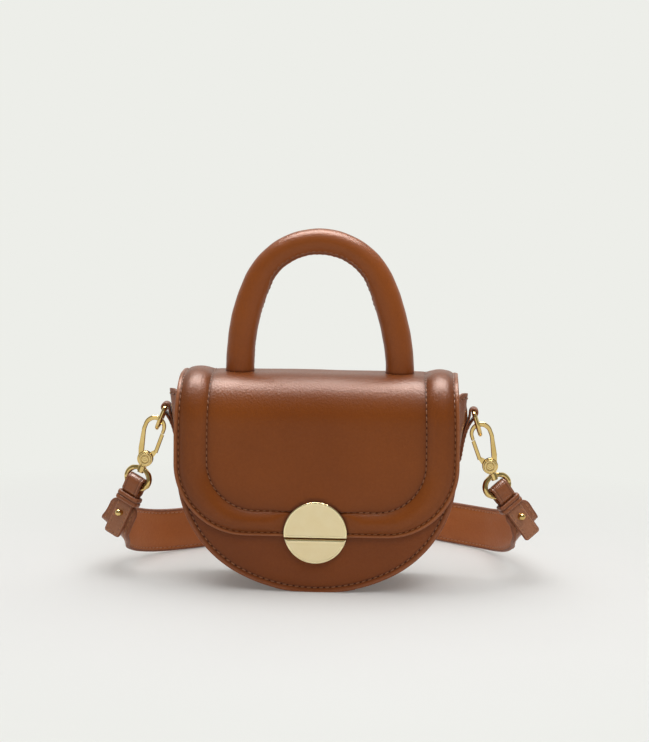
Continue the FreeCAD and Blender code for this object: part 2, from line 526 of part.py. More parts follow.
# strap on the floor: straight runs and tangent arcs seen from above
def fillet_path(points):
    runs, prev = [], V(points[0][0], points[0][1], 0)
    for j in range(1, len(points) - 1):
        a, q, e = [V(*points[m], 0) for m in (j - 1, j, j + 1)]
        u, v = (a - q), (e - q)
        la, lb = u.Length, v.Length
        u, v = u * (1 / la), v * (1 / lb)
        turn_by = math.pi - math.acos(max(-1, min(1, u.dot(v))))
        r = 0.45 * min(la, lb) / math.tan(turn_by / 2)
        cut = 0.45 * min(la, lb)
        p0, p1 = q + u * cut, q + v * cut
        bis = (u + v) * (1 / (u + v).Length)
        centre = q + bis * (r / math.cos(turn_by / 2))
        mid = centre - bis * r
        runs.append(("line", prev, p0))
        runs.append(("arc", p0, mid, p1, centre, r, turn_by))
        print("strap bend radius", round(r, 1))
        prev = p1
    runs.append(("line", prev, V(points[-1][0], points[-1][1], 0)))
    return runs


def strap_floor():
    solids, total = [], 0.0
    for run in fillet_path(STRAP_PLAN):
        if run[0] == "line":
            a, e = run[1], run[2]
            d = e - a
            total += d.Length
            nrm = V(-d.y, d.x, 0) * (STRAP_T / 2 / d.Length)
            solids.append(poly([a + nrm, e + nrm, e - nrm, a - nrm]).extrude(V(0, 0, STRAP_W)))
        else:
            p0, mid, p1, centre, r, turn_by = run[1:]
            total += r * turn_by
            pts = []
            for f in (1 + STRAP_T / 2 / r, 1 - STRAP_T / 2 / r):
                pts.append([centre + (q - centre) * f for q in (p0, mid, p1)])
            o, i = pts
            f = face([arc(*o), seg(o[2], i[2]), arc(i[2], i[1], i[0]), seg(i[0], o[0])])
            solids.append(f.extrude(V(0, 0, STRAP_W)))
    print("strap on floor length", round(total, 1))
    return solids[0].fuse(solids[1:]).removeSplitter()


# ---------------------------------------------------------------- write one file per piece
save("front_panel", front_panel)
save("back_panel", back_panel)
save("gusset", gusset)
save("front_board", front_board)
save("back_board", back_board)
save("gusset_board", gusset_board)
save("front_lining", front_lining)
save("back_lining", back_lining)
save("gusset_lining", gusset_lining)
save("inner_pocket", inner_pocket)
save("lock_lower_plate", lock_lower_plate)
save("lock_lower_magnet", lock_lower_magnet)
save("lock_lower_rivets", lock_lower_rivets)
save("flap_cover", flap_cover)
save("flap_padding", flap_padding)
save("flap_lining", flap_lining)
save("lock_upper_plate", lock_upper_plate)
save("lock_upper_magnet", lock_upper_magnet)
save("lock_upper_rivets", lock_upper_rivets)
save("handle_cover", handle_cover)
save("handle_core", handle_core)
for side, name in ((1, "right"), (-1, "left")):
    save("handle_screw_" + name, handle_screw[side])
    save("handle_washer_" + name, handle_washer[side])
    for node, shape in (("dring_tab_", tab), ("dring_", dring_at[side]), ("hook_", hook[side]), ("gate_", gate[side]),
                        ("gate_pin_", gate_pin[side]), ("gate_spring_", gate_spring[side]), ("swivel_ring_", ring[side])):
        save(node + name, shape if side > 0 else mirrored(shape))
    save("strap_end_" + name, in_tail(strap_end(side).cut(stud_hole), side))
    save("keeper_" + name, in_tail(keeper_l, side))
    save("stud_" + name, in_tail(stud_l, side))
    hole_w = in_tail(stud_hole, side)
    save("strap_rise_" + name, strap_rise(side).cut(hole_w))
save("strap_floor", strap_floor())

for side in (1, -1):
    d, wv = tail_frame(side)
    print("side", side, "ring centre", ring_c[side], "tail along", d, "across", wv, "fold point", ring_c[side] + d * FOLD_AT)
    print("dring bottom", bar + dring_down[side] * DRING_LEN)
print("swivel dir", S_DOWN, "N_R", N_R, "handle top", top_zc + HANDLE_TOP_R + HANDLE_TUBE_R)
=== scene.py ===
import bpy
import json
import math
import numpy as np
from mathutils import Matrix, Vector


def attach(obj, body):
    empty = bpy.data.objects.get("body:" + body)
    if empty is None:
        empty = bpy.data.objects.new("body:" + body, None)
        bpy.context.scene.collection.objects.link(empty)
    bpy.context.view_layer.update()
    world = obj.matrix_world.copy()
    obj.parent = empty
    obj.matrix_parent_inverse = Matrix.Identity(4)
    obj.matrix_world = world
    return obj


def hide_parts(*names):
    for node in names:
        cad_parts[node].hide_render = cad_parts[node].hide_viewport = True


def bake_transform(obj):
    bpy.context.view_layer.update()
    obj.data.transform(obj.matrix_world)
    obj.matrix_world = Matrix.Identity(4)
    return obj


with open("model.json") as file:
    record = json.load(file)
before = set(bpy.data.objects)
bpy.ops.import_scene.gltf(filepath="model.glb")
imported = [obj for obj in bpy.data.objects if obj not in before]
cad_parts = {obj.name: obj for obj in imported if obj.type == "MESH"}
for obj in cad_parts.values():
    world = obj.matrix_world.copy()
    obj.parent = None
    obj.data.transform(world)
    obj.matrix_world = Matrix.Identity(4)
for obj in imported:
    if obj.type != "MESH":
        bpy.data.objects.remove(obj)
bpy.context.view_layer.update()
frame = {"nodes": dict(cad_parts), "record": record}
NODES = frame["nodes"]
SCENE = bpy.context.scene
MM = 0.001


# ---------------------------------------------------------------- camera
def set_camera():
    aim = np.array([-0.3, -38.0, 163.6])
    el, az, roll = math.radians(7.0), math.radians(2.8), math.radians(0.65)
    back = np.array([math.sin(az) * math.cos(el), -math.cos(az) * math.cos(el), math.sin(el)])
    place = aim + back * 1600.0
    fwd = -back
    right = np.cross(fwd, [0, 0, 1])
    right /= np.linalg.norm(right)
    up = np.cross(right, fwd)
    right, up = (
        right * math.cos(roll) + up * math.sin(roll),
        up * math.cos(roll) - right * math.sin(roll),
    )
    focal = 2330.0
    # the picture's middle lies a little off the aimed point
    fwd = fwd * focal + right * (324.5 - 317.0) - up * (371.0 - 359.5)
    fwd /= np.linalg.norm(fwd)
    right = right - fwd * (right @ fwd)
    right /= np.linalg.norm(right)
    up = np.cross(right, fwd)
    cam = bpy.data.cameras.new("camera")
    cam.sensor_fit = "HORIZONTAL"
    cam.sensor_width = 36.0
    cam.lens = focal * 36.0 / 649.0
    cam.clip_start = 0.05
    cam.clip_end = 60.0
    ob = bpy.data.objects.new("camera", cam)
    m = Matrix.Identity(4)
    for i in range(3):
        m[i][0], m[i][1], m[i][2], m[i][3] = right[i], up[i], -fwd[i], place[i] * MM
    ob.matrix_world = m
    SCENE.collection.objects.link(ob)
    SCENE.camera = ob


set_camera()


# ---------------------------------------------------------------- small helpers
def unit(v):
    v = np.asarray(v, float)
    return v / np.linalg.norm(v)


def smooth01(a, b, x):
    t = np.clip((np.asarray(x, float) - a) / (b - a), 0.0, 1.0)
    return t * t * (3.0 - 2.0 * t)


def lumps(p, size, seed):
    """Slow, repeatable unevenness between about -1 and 1."""
    p = np.asarray(p, float) / size
    rng = np.random.RandomState(seed)
    out = np.zeros(p.shape[0])
    for _ in range(7):
        k = rng.normal(size=3)
        out += np.sin(p @ k * 2.0 + rng.uniform(0, 6.28))
    return out / 3.5


def make_piece(name, verts, faces, mats, body=None, face_mats=None, attrs=None, smooth=True):
    me = bpy.data.meshes.new(name)
    me.from_pydata([tuple(v) for v in np.asarray(verts, float) * MM], [], [tuple(f) for f in faces])
    for m in mats:
        me.materials.append(m)
    if face_mats is not None:
        me.polygons.foreach_set("material_index", [int(i) for i in face_mats])
    if smooth:
        me.polygons.foreach_set("use_smooth", [True] * len(me.polygons))
    for key, vals in (attrs or {}).items():
        a = me.attributes.new(key, "FLOAT", "POINT")
        a.data.foreach_set("value", [float(x) for x in vals])
    me.update()
    ob = bpy.data.objects.new(name, me)
    SCENE.collection.objects.link(ob)
    if body is not None:
        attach(ob, body)
    return ob


def grid_faces(rows, cols, wrap=False, base=0):
    out = []
    for i in range(rows - 1):
        for j in range(cols if wrap else cols - 1):
            k = (j + 1) % cols
            out.append((base + i * cols + j, base + i * cols + k, base + (i + 1) * cols + k, base + (i + 1) * cols + j))
    return out


def flip(faces):
    return [tuple(reversed(f)) for f in faces]


def mirror(verts):
    v = np.array(verts, float)
    v[:, 0] *= -1
    return v


def arc_len(pts):
    d = np.linalg.norm(np.diff(pts, axis=0), axis=1)
    return np.concatenate([[0.0], np.cumsum(d)])


def at_len(pts, lens, where):
    return np.stack([np.interp(where, lens, pts[:, i]) for i in range(pts.shape[1])], 1)


# ---------------------------------------------------------------- materials
def srgb(r, g, b):
    def lin(c):
        c /= 255.0
        return c / 12.92 if c <= 0.04045 else ((c + 0.055) / 1.055) ** 2.4

    return (lin(r), lin(g), lin(b), 1.0)


class Nodes:
    def __init__(self, name):
        self.mat = bpy.data.materials.new(name)
        self.mat.use_nodes = True
        self.t = self.mat.node_tree
        self.t.nodes.clear()
        self.out = self.add("ShaderNodeOutputMaterial")
        self.bsdf = self.add("ShaderNodeBsdfPrincipled")
        self.link(self.bsdf.outputs[0], self.out.inputs[0])
        self.coord = self.add("ShaderNodeTexCoord").outputs["Object"]

    def add(self, kind, **props):
        n = self.t.nodes.new(kind)
        for k, v in props.items():
            setattr(n, k, v)
        return n

    def link(self, a, b):
        self.t.links.new(a, b)

    def set(self, key, value):
        self.bsdf.inputs[key].default_value = value

    def noise(self, scale, detail=3.0, rough=0.55, vec=None, distortion=0.0):
        n = self.add("ShaderNodeTexNoise")
        n.inputs["Scale"].default_value = scale
        n.inputs["Detail"].default_value = detail
        n.inputs["Roughness"].default_value = rough
        n.inputs["Distortion"].default_value = distortion
        self.link(vec or self.coord, n.inputs["Vector"])
        return n.outputs["Fac"]

    def voronoi(self, scale, feature="F1", out="Distance", vec=None):
        n = self.add("ShaderNodeTexVoronoi", feature=feature)
        n.inputs["Scale"].default_value = scale
        self.link(vec or self.coord, n.inputs["Vector"])
        return n.outputs[out]

    def math(self, op, a, b, clamp=False):
        n = self.add("ShaderNodeMath", operation=op, use_clamp=clamp)
        for i, x in enumerate((a, b)):
            if isinstance(x, (int, float)):
                n.inputs[i].default_value = x
            else:
                self.link(x, n.inputs[i])
        return n.outputs[0]

    def remap(self, x, a, b, c, d):
        n = self.add("ShaderNodeMapRange")
        self.link(x, n.inputs["Value"])
        for k, v in (("From Min", a), ("From Max", b), ("To Min", c), ("To Max", d)):
            n.inputs[k].default_value = v
        return n.outputs["Result"]

    def ramp(self, x, stops):
        n = self.add("ShaderNodeValToRGB")
        e = n.color_ramp.elements
        while len(e) < len(stops):
            e.new(0.5)
        for el, (pos, col) in zip(e, stops):
            el.position = pos
            el.color = col
        self.link(x, n.inputs["Fac"])
        return n.outputs["Color"]

    def mix(self, fac, a, b, blend="MIX"):
        n = self.add("ShaderNodeMix", data_type="RGBA", blend_type=blend)
        for i, x in ((0, fac), (6, a), (7, b)):
            if isinstance(x, (int, float)):
                n.inputs[i].default_value = x
            elif isinstance(x, tuple):
                n.inputs[i].default_value = x
            else:
                self.link(x, n.inputs[i])
        return n.outputs[2]

    def attr(self, name):
        n = self.add("ShaderNodeAttribute", attribute_name=name, attribute_type="GEOMETRY")
        return n.outputs["Fac"]

    def bump(self, height, distance, strength=1.0, normal=None):
        n = self.add("ShaderNodeBump")
        n.inputs["Distance"].default_value = distance
        n.inputs["Strength"].default_value = strength
        self.link(height, n.inputs["Height"])
        if normal is not None:
            self.link(normal, n.inputs["Normal"])
        return n.outputs["Normal"]


def leather(name, low, mid, high, pore_and_shade_colour, worn_and_sheen, rough=0.345, grain=1.0, cells=1250.0, gloss=0.25):
    """Smooth calf leather: fine pebbled grain, slow colour change, painted shade in creases and grooves, ridges
    lightened by use, and painted sheen.
    """
    n = Nodes(name)
    slow = n.noise(11.0, 2.0, 0.5)
    fine = n.noise(520.0, 4.0, 0.6)
    both = n.math("ADD", n.math("MULTIPLY", slow, 0.70), n.math("MULTIPLY", fine, 0.30))
    col = n.ramp(both, [(0.34, low), (0.50, mid), (0.66, high)])
    pores = n.voronoi(cells)
    pore_dark = n.remap(pores, 0.0, 0.40, 0.12, 0.0)
    col = n.mix(pore_dark, col, pore_and_shade_colour)
    shade = n.attr("shade")
    wear_and_sheen = n.attr("wear_and_sheen")
    # lighter towards the pale colour: real scuffs on edges and ridges, and painted sheen on the strap ends
    rub_and_sheen = n.math("MULTIPLY", wear_and_sheen, n.remap(fine, 0.3, 0.7, 0.6, 1.0), clamp=True)
    # painted shade: darken towards the pore-and-shade colour wherever the shade attribute is set
    col = n.mix(n.math("MULTIPLY", shade, 0.85, clamp=True), col, pore_and_shade_colour)
    col = n.mix(rub_and_sheen, col, worn_and_sheen)
    n.link(col, n.bsdf.inputs["Base Color"])
    r = n.remap(fine, 0.3, 0.7, rough + 0.04, rough - 0.04)
    r = n.math("ADD", r, n.math("MULTIPLY", shade, 0.15))
    n.link(r, n.bsdf.inputs["Roughness"])
    n.set("Specular IOR Level", gloss)
    warped = n.add("ShaderNodeVectorMath", operation="ADD")
    wob = n.add("ShaderNodeTexNoise")
    wob.inputs["Scale"].default_value = 420.0
    wob.inputs["Detail"].default_value = 2.0
    n.link(n.coord, wob.inputs["Vector"])
    sc = n.add("ShaderNodeVectorMath", operation="SCALE")
    sc.inputs["Scale"].default_value = 0.0007
    n.link(wob.outputs["Color"], sc.inputs[0])
    n.link(n.coord, warped.inputs[0])
    n.link(sc.outputs[0], warped.inputs[1])
    pebble = n.voronoi(cells, "SMOOTH_F1", vec=warped.outputs[0])
    b = n.bump(pebble, 0.00010 * grain, 0.7)
    b = n.bump(n.noise(640.0, 2.0, 0.5), 0.00034 * grain, 0.6, b)
    b = n.bump(n.noise(2600.0, 3.0, 0.6), 0.00002 * grain, 0.5, b)
    n.link(b, n.bsdf.inputs["Normal"])
    return n.mat


def suede(name, low, high, scale=1.0):
    n = Nodes(name)
    a = n.noise(60.0 * scale, 3.0)
    f = n.noise(1400.0 * scale, 4.0, 0.7)
    both = n.math("ADD", n.math("MULTIPLY", a, 0.5), n.math("MULTIPLY", f, 0.5))
    col = n.ramp(both, [(0.35, low), (0.65, high)])
    col = n.mix(n.math("MULTIPLY", n.attr("shade"), 0.6, clamp=True), col, tuple(c * 0.4 for c in low[:3]) + (1.0,))
    n.link(col, n.bsdf.inputs["Base Color"])
    n.link(n.remap(f, 0.3, 0.7, 0.95, 0.78), n.bsdf.inputs["Roughness"])
    n.set("Sheen Weight", 0.25)
    n.set("Sheen Roughness", 0.5)
    n.set("Specular IOR Level", 0.25)
    b = n.bump(f, 0.00012, 0.7)
    n.link(b, n.bsdf.inputs["Normal"])
    return n.mat


def paint_edge(name, low, high):
    """The burnished, painted cut edge of leather: low gloss, slightly ridged layers."""
    n = Nodes(name)
    f = n.noise(500.0, 4.0, 0.6)
    n.link(n.ramp(f, [(0.3, low), (0.7, high)]), n.bsdf.inputs["Base Color"])
    n.link(n.remap(f, 0.3, 0.7, 0.58, 0.46), n.bsdf.inputs["Roughness"])
    n.set("Specular IOR Level", 0.25)
    n.link(n.bump(n.noise(900.0, 3.0), 0.00006, 0.6), n.bsdf.inputs["Normal"])
    return n.mat


def thread(name, low, high):
    n = Nodes(name)
    f = n.noise(2200.0, 3.0, 0.6)
    n.link(n.ramp(f, [(0.3, low), (0.7, high)]), n.bsdf.inputs["Base Color"])
    n.link(n.remap(f, 0.3, 0.7, 0.62, 0.42), n.bsdf.inputs["Roughness"])
    n.set("Sheen Weight", 0.15)
    w = n.add("ShaderNodeTexWave", wave_type="BANDS", bands_direction="DIAGONAL")
    w.inputs["Scale"].default_value = 900.0
    w.inputs["Distortion"].default_value = 1.0
    n.link(n.coord, w.inputs["Vector"])
    n.link(n.bump(w.outputs["Fac"], 0.00006, 0.7), n.bsdf.inputs["Normal"])
    return n.mat


def metal(name, low, high, rough_a, rough_b, fine=1600.0, relief=0.000006):
    n = Nodes(name)
    n.set("Metallic", 1.0)
    f = n.noise(fine, 4.0, 0.6)
    slow = n.noise(90.0, 2.0)
    n.link(n.ramp(n.math("ADD", n.math("MULTIPLY", f, 0.35), n.math("MULTIPLY", slow, 0.65)), [(0.35, low), (0.65, high)]), n.bsdf.inputs["Base Color"])
    n.link(n.remap(f, 0.25, 0.75, rough_a, rough_b), n.bsdf.inputs["Roughness"])
    n.link(n.bump(f, relief, 0.5), n.bsdf.inputs["Normal"])
    return n.mat


def fibre(name, low, high, scale, relief):
    n = Nodes(name)
    f = n.noise(scale, 5.0, 0.7)
    n.link(n.ramp(f, [(0.3, low), (0.7, high)]), n.bsdf.inputs["Base Color"])
    n.link(n.remap(f, 0.3, 0.7, 0.95, 0.8), n.bsdf.inputs["Roughness"])
    n.link(n.bump(f, relief, 0.7), n.bsdf.inputs["Normal"])
    return n.mat


BODY = leather("body_leather_look", srgb(127, 63, 16), srgb(134, 68, 19), srgb(142, 74, 23), srgb(60, 25, 9), srgb(178, 116, 80))
# a darker copy of the body leather for the panels and gusset: painted shade on the lower bag
SACK_SHADED = leather("sack_leather_shaded_look", srgb(118, 58, 17), srgb(125, 62, 20), srgb(132, 67, 23), srgb(56, 23, 9), srgb(172, 112, 80))
HANDLE = leather("handle_leather_look", srgb(132, 67, 22), srgb(139, 72, 26), srgb(147, 77, 29), srgb(50, 21, 8), srgb(176, 112, 74), rough=0.36, grain=0.8)
STRAP = leather("strap_grain_look", srgb(168, 92, 40), srgb(179, 100, 46), srgb(190, 109, 53), srgb(66, 29, 12), srgb(186, 128, 94), grain=1.15, cells=1100.0)
# the strap ends' pale pinkish colour doubles as their painted sheen
STRAP_END = leather("strap_end_look", srgb(134, 74, 38), srgb(142, 80, 42), srgb(151, 87, 48), srgb(66, 30, 14), srgb(206, 162, 136), rough=0.38, grain=1.15, cells=1100.0, gloss=0.5)
STRAP_IN = leather("strap_lining_look", srgb(166, 91, 39), srgb(175, 98, 45), srgb(185, 106, 51), srgb(74, 34, 13), srgb(186, 126, 88), rough=0.42, grain=0.9, cells=1400.0)
LINING = suede("lining_look", srgb(142, 98, 66), srgb(168, 122, 86))
EDGE = paint_edge("edge_paint_look", srgb(136, 82, 56), srgb(156, 98, 70))
EDGE_STRAP = paint_edge("strap_edge_look", srgb(124, 72, 46), srgb(146, 90, 62))
THREAD = thread("thread_look", srgb(132, 78, 42), srgb(160, 102, 62))
THREAD_LIGHT = thread("strap_thread_look", srgb(166, 104, 60), srgb(190, 126, 80))
# dark discs of painted shade standing in for the needle holes
HOLE_SHADE = fibre("needle_hole_shade_look", srgb(46, 20, 9), srgb(60, 28, 13), 900.0, 0.00003)
GOLD = metal("polished_gold_look", srgb(212, 180, 112), srgb(230, 200, 134), 0.09, 0.06)
SATIN = metal("satin_gold_look", srgb(252, 232, 184), srgb(255, 237, 193), 0.42, 0.34, relief=0.000012)
HEAD = metal("turned_gold_look", srgb(222, 192, 128), srgb(236, 208, 146), 0.34, 0.26)
BRIGHT = metal("bright_rim_look", srgb(244, 226, 176), srgb(250, 236, 192), 0.24, 0.18)
STEEL = metal("steel_look", srgb(150, 150, 150), srgb(176, 176, 174), 0.4, 0.28)
MAGNET = metal("magnet_look", srgb(140, 140, 142), srgb(164, 164, 166), 0.34, 0.24)
BOARD = fibre("board_look", srgb(150, 128, 100), srgb(176, 152, 122), 700.0, 0.00008)
ROPE = fibre("core_look", srgb(198, 186, 164), srgb(224, 214, 194), 1500.0, 0.0002)

# ---------------------------------------------------------------- strap route
RING_AT = {1: np.array([125.9645, 0.0, 71.4106]), -1: np.array([128.4645, 0.0, 71.9106])}
N_R = np.array([0.397131, -0.906308, 0.144544])
D_R = np.array([0.576074, 0.123562, -0.808004])
W_R = np.array([0.714441, 0.404152, 0.571171])
D_L = np.array([0.410653, 0.034629, -0.911134])
W_L = np.array([0.820762, 0.421197, 0.385930])
FLIPX = np.array([-1.0, 1.0, 1.0])


def tail_point(side, h, w, n):
    """A point given along the strap end, across it and out of its face."""
    d, wv = (D_R, W_R) if side > 0 else (D_L, W_L)
    p = RING_AT[side] + d * h + wv * w + N_R * n
    return p if side > 0 else p * FLIPX


ROUTE = [
    tail_point(1, 20.2, 2.2, -1.7),
    tail_point(1, 31.0, 2.2, -1.7),
    (148.0, 9.0, 38.5),
    (141.0, 46.0, 33.0),
    (134.0, 96.0, 19.5),
    (112.0, 135.0, 16.0),
    (22.0, 205.5, 16.0),
    (70.0, 262.0, 16.0),
    (38.0, 306.0, 16.0),
    (-38.0, 306.0, 16.0),
    (-72.0, 256.0, 16.0),
    (-24.0, 172.0, 16.0),
    (-104.0, 101.0, 16.0),
    (-132.0, 78.0, 18.0),
    (-144.0, 40.0, 29.0),
    (-147.0, 7.0, 33.0),
    tail_point(-1, 31.0, 1.0, -1.7),
    tail_point(-1, 20.2, 1.0, -1.7),
]


def spline_points(route):
    cu = bpy.data.curves.new("strap_route", "CURVE")
    cu.dimensions = "3D"
    cu.resolution_u = 24
    sp = cu.splines.new("NURBS")
    sp.points.add(len(route) - 1)
    for p, co in zip(sp.points, route):
        p.co = (co[0] * MM, co[1] * MM, co[2] * MM, 1.0)
    sp.order_u = 3
    sp.use_endpoint_u = True
    sp.resolution_u = 24
    ob = bpy.data.objects.new("strap_route", cu)
    SCENE.collection.objects.link(ob)
    bpy.context.view_layer.update()
    me = bpy.data.meshes.new_from_object(ob)
    pts = np.array([v.co[:] for v in me.vertices]) / MM
    bpy.data.objects.remove(ob)
    bpy.data.curves.remove(cu)
    bpy.data.meshes.remove(me)
    return pts


LINE = spline_points(ROUTE)
LINE_LEN = arc_len(LINE)
TOTAL = LINE_LEN[-1]

STRAP_HALF = 16.0
STRAP_T = 3.0


def strap_frames(n=900):
    """Points, run, width and outward vectors evenly along the strap."""
    s = np.linspace(0.0, TOTAL, n)
    p = at_len(LINE, LINE_LEN, s)
    t = np.gradient(p, axis=0)
    t /= np.linalg.norm(t, axis=1)[:, None]
    up = np.array([0.0, 0.0, 1.0])
    start, end = W_R, W_L * FLIPX
    a = smooth01(8.0, 75.0, s)[:, None]
    b = smooth01(8.0, 75.0, TOTAL - s)[:, None]
    w = start * (1 - a) + up * a
    w = np.where((TOTAL - s)[:, None] < 130.0, end * (1 - b) + up * b, w)
    w = w - t * np.sum(w * t, axis=1)[:, None]
    w /= np.linalg.norm(w, axis=1)[:, None]
    out = np.cross(t, w)
    return s, p, t, w, out


S_S, S_P, S_T, S_W, S_N = strap_frames()


def strap_half_width(s):
    """Rounded shoulders at the strap ends, then slowly to the full width."""
    def one(x, full, ear):
        u = np.clip(x / 6.2, 0.0, 1.0)
        return 6.4 + ear * np.sqrt(np.clip(1.0 - (1.0 - u) ** 2, 0.0, 1.0)) + (6.2 - ear) * smooth01(8.0, 24.0, x) + (STRAP_HALF - 12.6) * smooth01(12.0, full, x)

    return np.minimum(one(s, 110.0, 4.4), one(TOTAL - s, 85.0, 5.5))


def strap_surface(s_at, across, off):
    """Place on the strap: across it by the given mm from its middle, off outwards."""
    p = at_len(S_P, S_S, s_at)
    w = at_len(S_W, S_S, s_at)
    n = at_len(S_N, S_S, s_at)
    w /= np.linalg.norm(w, axis=1)[:, None]
    n /= np.linalg.norm(n, axis=1)[:, None]
    return p + w * np.asarray(across)[:, None] + n * np.asarray(off)[:, None]


def rest_on_floor(v, low=0.25):
    v = np.array(v, float)
    v[:, 2] = np.where(v[:, 2] < low + 1.0, low + np.log1p(np.exp(np.clip((v[:, 2] - low) * 4.0, -30, 30))) / 4.0 * 1.0, v[:, 2])
    return v


def build_strap():
    end = 6.6 * np.linspace(0, 1, 36) ** 1.8
    s = np.concatenate([end, np.linspace(7.1, TOTAL - 7.1, 840), TOTAL - end[::-1]])
    half = strap_half_width(s)
    # cross-section going round: (inset from edge, out) pairs on the upper edge mirrored to the lower
    h = STRAP_T / 2
    side = [
        (0.9, h * 0.98, 0), (0.35, h * 0.80, 1), (0.06, h * 0.42, 1), (0.0, 0.0, 1), (0.06, -h * 0.42, 1), (0.35, -h * 0.80, 1), (0.9, -h * 0.98, 0),
    ]
    ring = []
    # outward face from lower edge to upper edge
    face = [(1.7, 1.0), (2.5, 0.93), (3.0, 0.80), (3.5, 0.93), (4.3, 1.02), (6.5, 1.06)]
    for ins, k in face:
        ring.append(("lo", ins, h * k))
    for f in (-0.45, -0.15, 0.15, 0.45):
        ring.append(("mid", f, h * 1.07))
    for ins, k in reversed(face):
        ring.append(("hi", ins, h * k))
    for ins, o, _ in side:
        ring.append(("hi", ins, o))
    for ins, k in face:
        ring.append(("hi", ins, -h * k))
    for f in (0.45, 0.15, -0.15, -0.45):
        ring.append(("mid", f, -h * 1.03))
    for ins, k in reversed(face):
        ring.append(("lo", ins, -h * k))
    for ins, o, _ in reversed(side):
        ring.append(("lo", ins, o))
    cols = len(ring)
    verts = np.zeros((len(s), cols, 3))
    shade = np.zeros((len(s), cols))
    wear_and_sheen = np.zeros((len(s), cols))
    for j, (kind, a, o) in enumerate(ring):
        if kind == "mid":
            ac = a * np.maximum(half - 6.5, 0.4)
        elif kind == "hi":
            ac = half - np.minimum(a, half * 0.8)
        else:
            ac = -(half - np.minimum(a, half * 0.8))
        verts[:, j] = strap_surface(s, ac, np.full(len(s), o))
        if kind != "mid":
            shade[:, j] = {3.0: 0.35, 2.5: 0.12, 3.5: 0.12}.get(a, 0.0)
            wear_and_sheen[:, j] = {1.7: 0.25, 0.9: 0.35}.get(a, 0.12)
    flat = verts.reshape(-1, 3)
    flat = flat + 0.12 * lumps(flat, 34.0, 5)[:, None] * np.repeat(at_len(S_N, S_S, s), cols, axis=0)
    flat = rest_on_floor(flat)
    faces = grid_faces(len(s), cols, wrap=True)
    fm = []
    n_face = len(face) * 2 + 4
    for i in range(len(s) - 1):
        for j in range(cols):
            if j < n_face - 1:
                fm.append(0)
            elif j < n_face + len(side):
                fm.append(2)
            elif j < 2 * n_face + len(side) - 1:
                fm.append(1)
            else:
                fm.append(2)
    faces.append(tuple(range(cols)))
    faces.append(tuple(reversed(range((len(s) - 1) * cols, len(s) * cols))))
    fm += [2, 2]
    ob = make_piece("shoulder_strap", flat, flip(faces), [STRAP_END, STRAP_IN, EDGE_STRAP], "bag_body", fm, {"shade": shade.ravel(), "wear_and_sheen": wear_and_sheen.ravel()})
    return ob


# ---------------------------------------------------------------- stitches
def stitch_line(name, pts, nrm, body, yarn=None, pitch=4.4, length=3.0, rad=0.34, lift=0.10, slant=0.10, holes=True, closed=False, sink=0.45):
    """One row of saddle stitches: a thread bridge per stitch, and a dark disc of painted shade for the needle hole
    between.
    """
    pts = np.asarray(pts, float)
    nrm = np.asarray(nrm, float)
    L = arc_len(pts)
    count = max(2, int(round(L[-1] / pitch)))
    step = L[-1] / count
    verts, faces, fm = [], [], []
    sides = 6
    prof = [(-0.5, -sink, 0.55), (-0.42, -0.05, 0.9), (-0.2, lift, 1.0), (0.2, lift, 1.0), (0.42, -0.05, 0.9), (0.5, -sink, 0.55)]
    rng = np.random.RandomState(len(pts) + int(L[-1] * 10) % 997)
    for i in range(count):
        mid = (i + 0.5) * step
        jit = rng.uniform(-0.08, 0.08)
        ang = slant + rng.uniform(-0.03, 0.03)
        base = len(verts)
        c = at_len(pts, L, np.array([mid - 0.3, mid, mid + 0.3]))
        t = unit(c[2] - c[0])
        nn = unit(at_len(nrm, L, np.array([mid]))[0])
        nn = unit(nn - t * (nn @ t))
        b = np.cross(nn, t)
        for f, up, k in prof:
            along = f * length
            pc = at_len(pts, L, np.array([np.clip(mid + along + jit, 0, L[-1])]))[0]
            pc = pc + b * math.sin(ang) * along + nn * up
            for q in range(sides):
                a = 2 * math.pi * q / sides
                verts.append(pc + (b * math.cos(a) * 1.15 + nn * math.sin(a) * 0.85) * rad * k)
        f2 = grid_faces(len(prof), sides, wrap=True, base=base)
        f2.append(tuple(base + q for q in reversed(range(sides))))
        f2.append(tuple(base + (len(prof) - 1) * sides + q for q in range(sides)))
        faces += f2
        fm += [0] * len(f2)
        # painted shade: a flat dark disc where the needle hole is
        if holes and i + 1 < count:
            hm = (i + 1.0) * step
            pc = at_len(pts, L, np.array([hm]))[0]
            nn2 = unit(at_len(nrm, L, np.array([hm]))[0])
            c = at_len(pts, L, np.array([hm - 0.3, hm + 0.3]))
            t2 = unit(c[1] - c[0])
            nn2 = unit(nn2 - t2 * (nn2 @ t2))
            b2 = np.cross(nn2, t2)
            base = len(verts)
            for q in range(8):
                a = 2 * math.pi * q / 8
                verts.append(pc + t2 * math.cos(a) * (step - length) * 0.52 + b2 * math.sin(a) * rad * 1.15 + nn2 * 0.03)
            verts.append(pc + nn2 * 0.055)
            for q in range(8):
                faces.append((base + q, base + (q + 1) % 8, base + 8))
                fm.append(1)
    ob = make_piece(name, verts, faces, [yarn or THREAD, HOLE_SHADE], body, fm)
    return ob


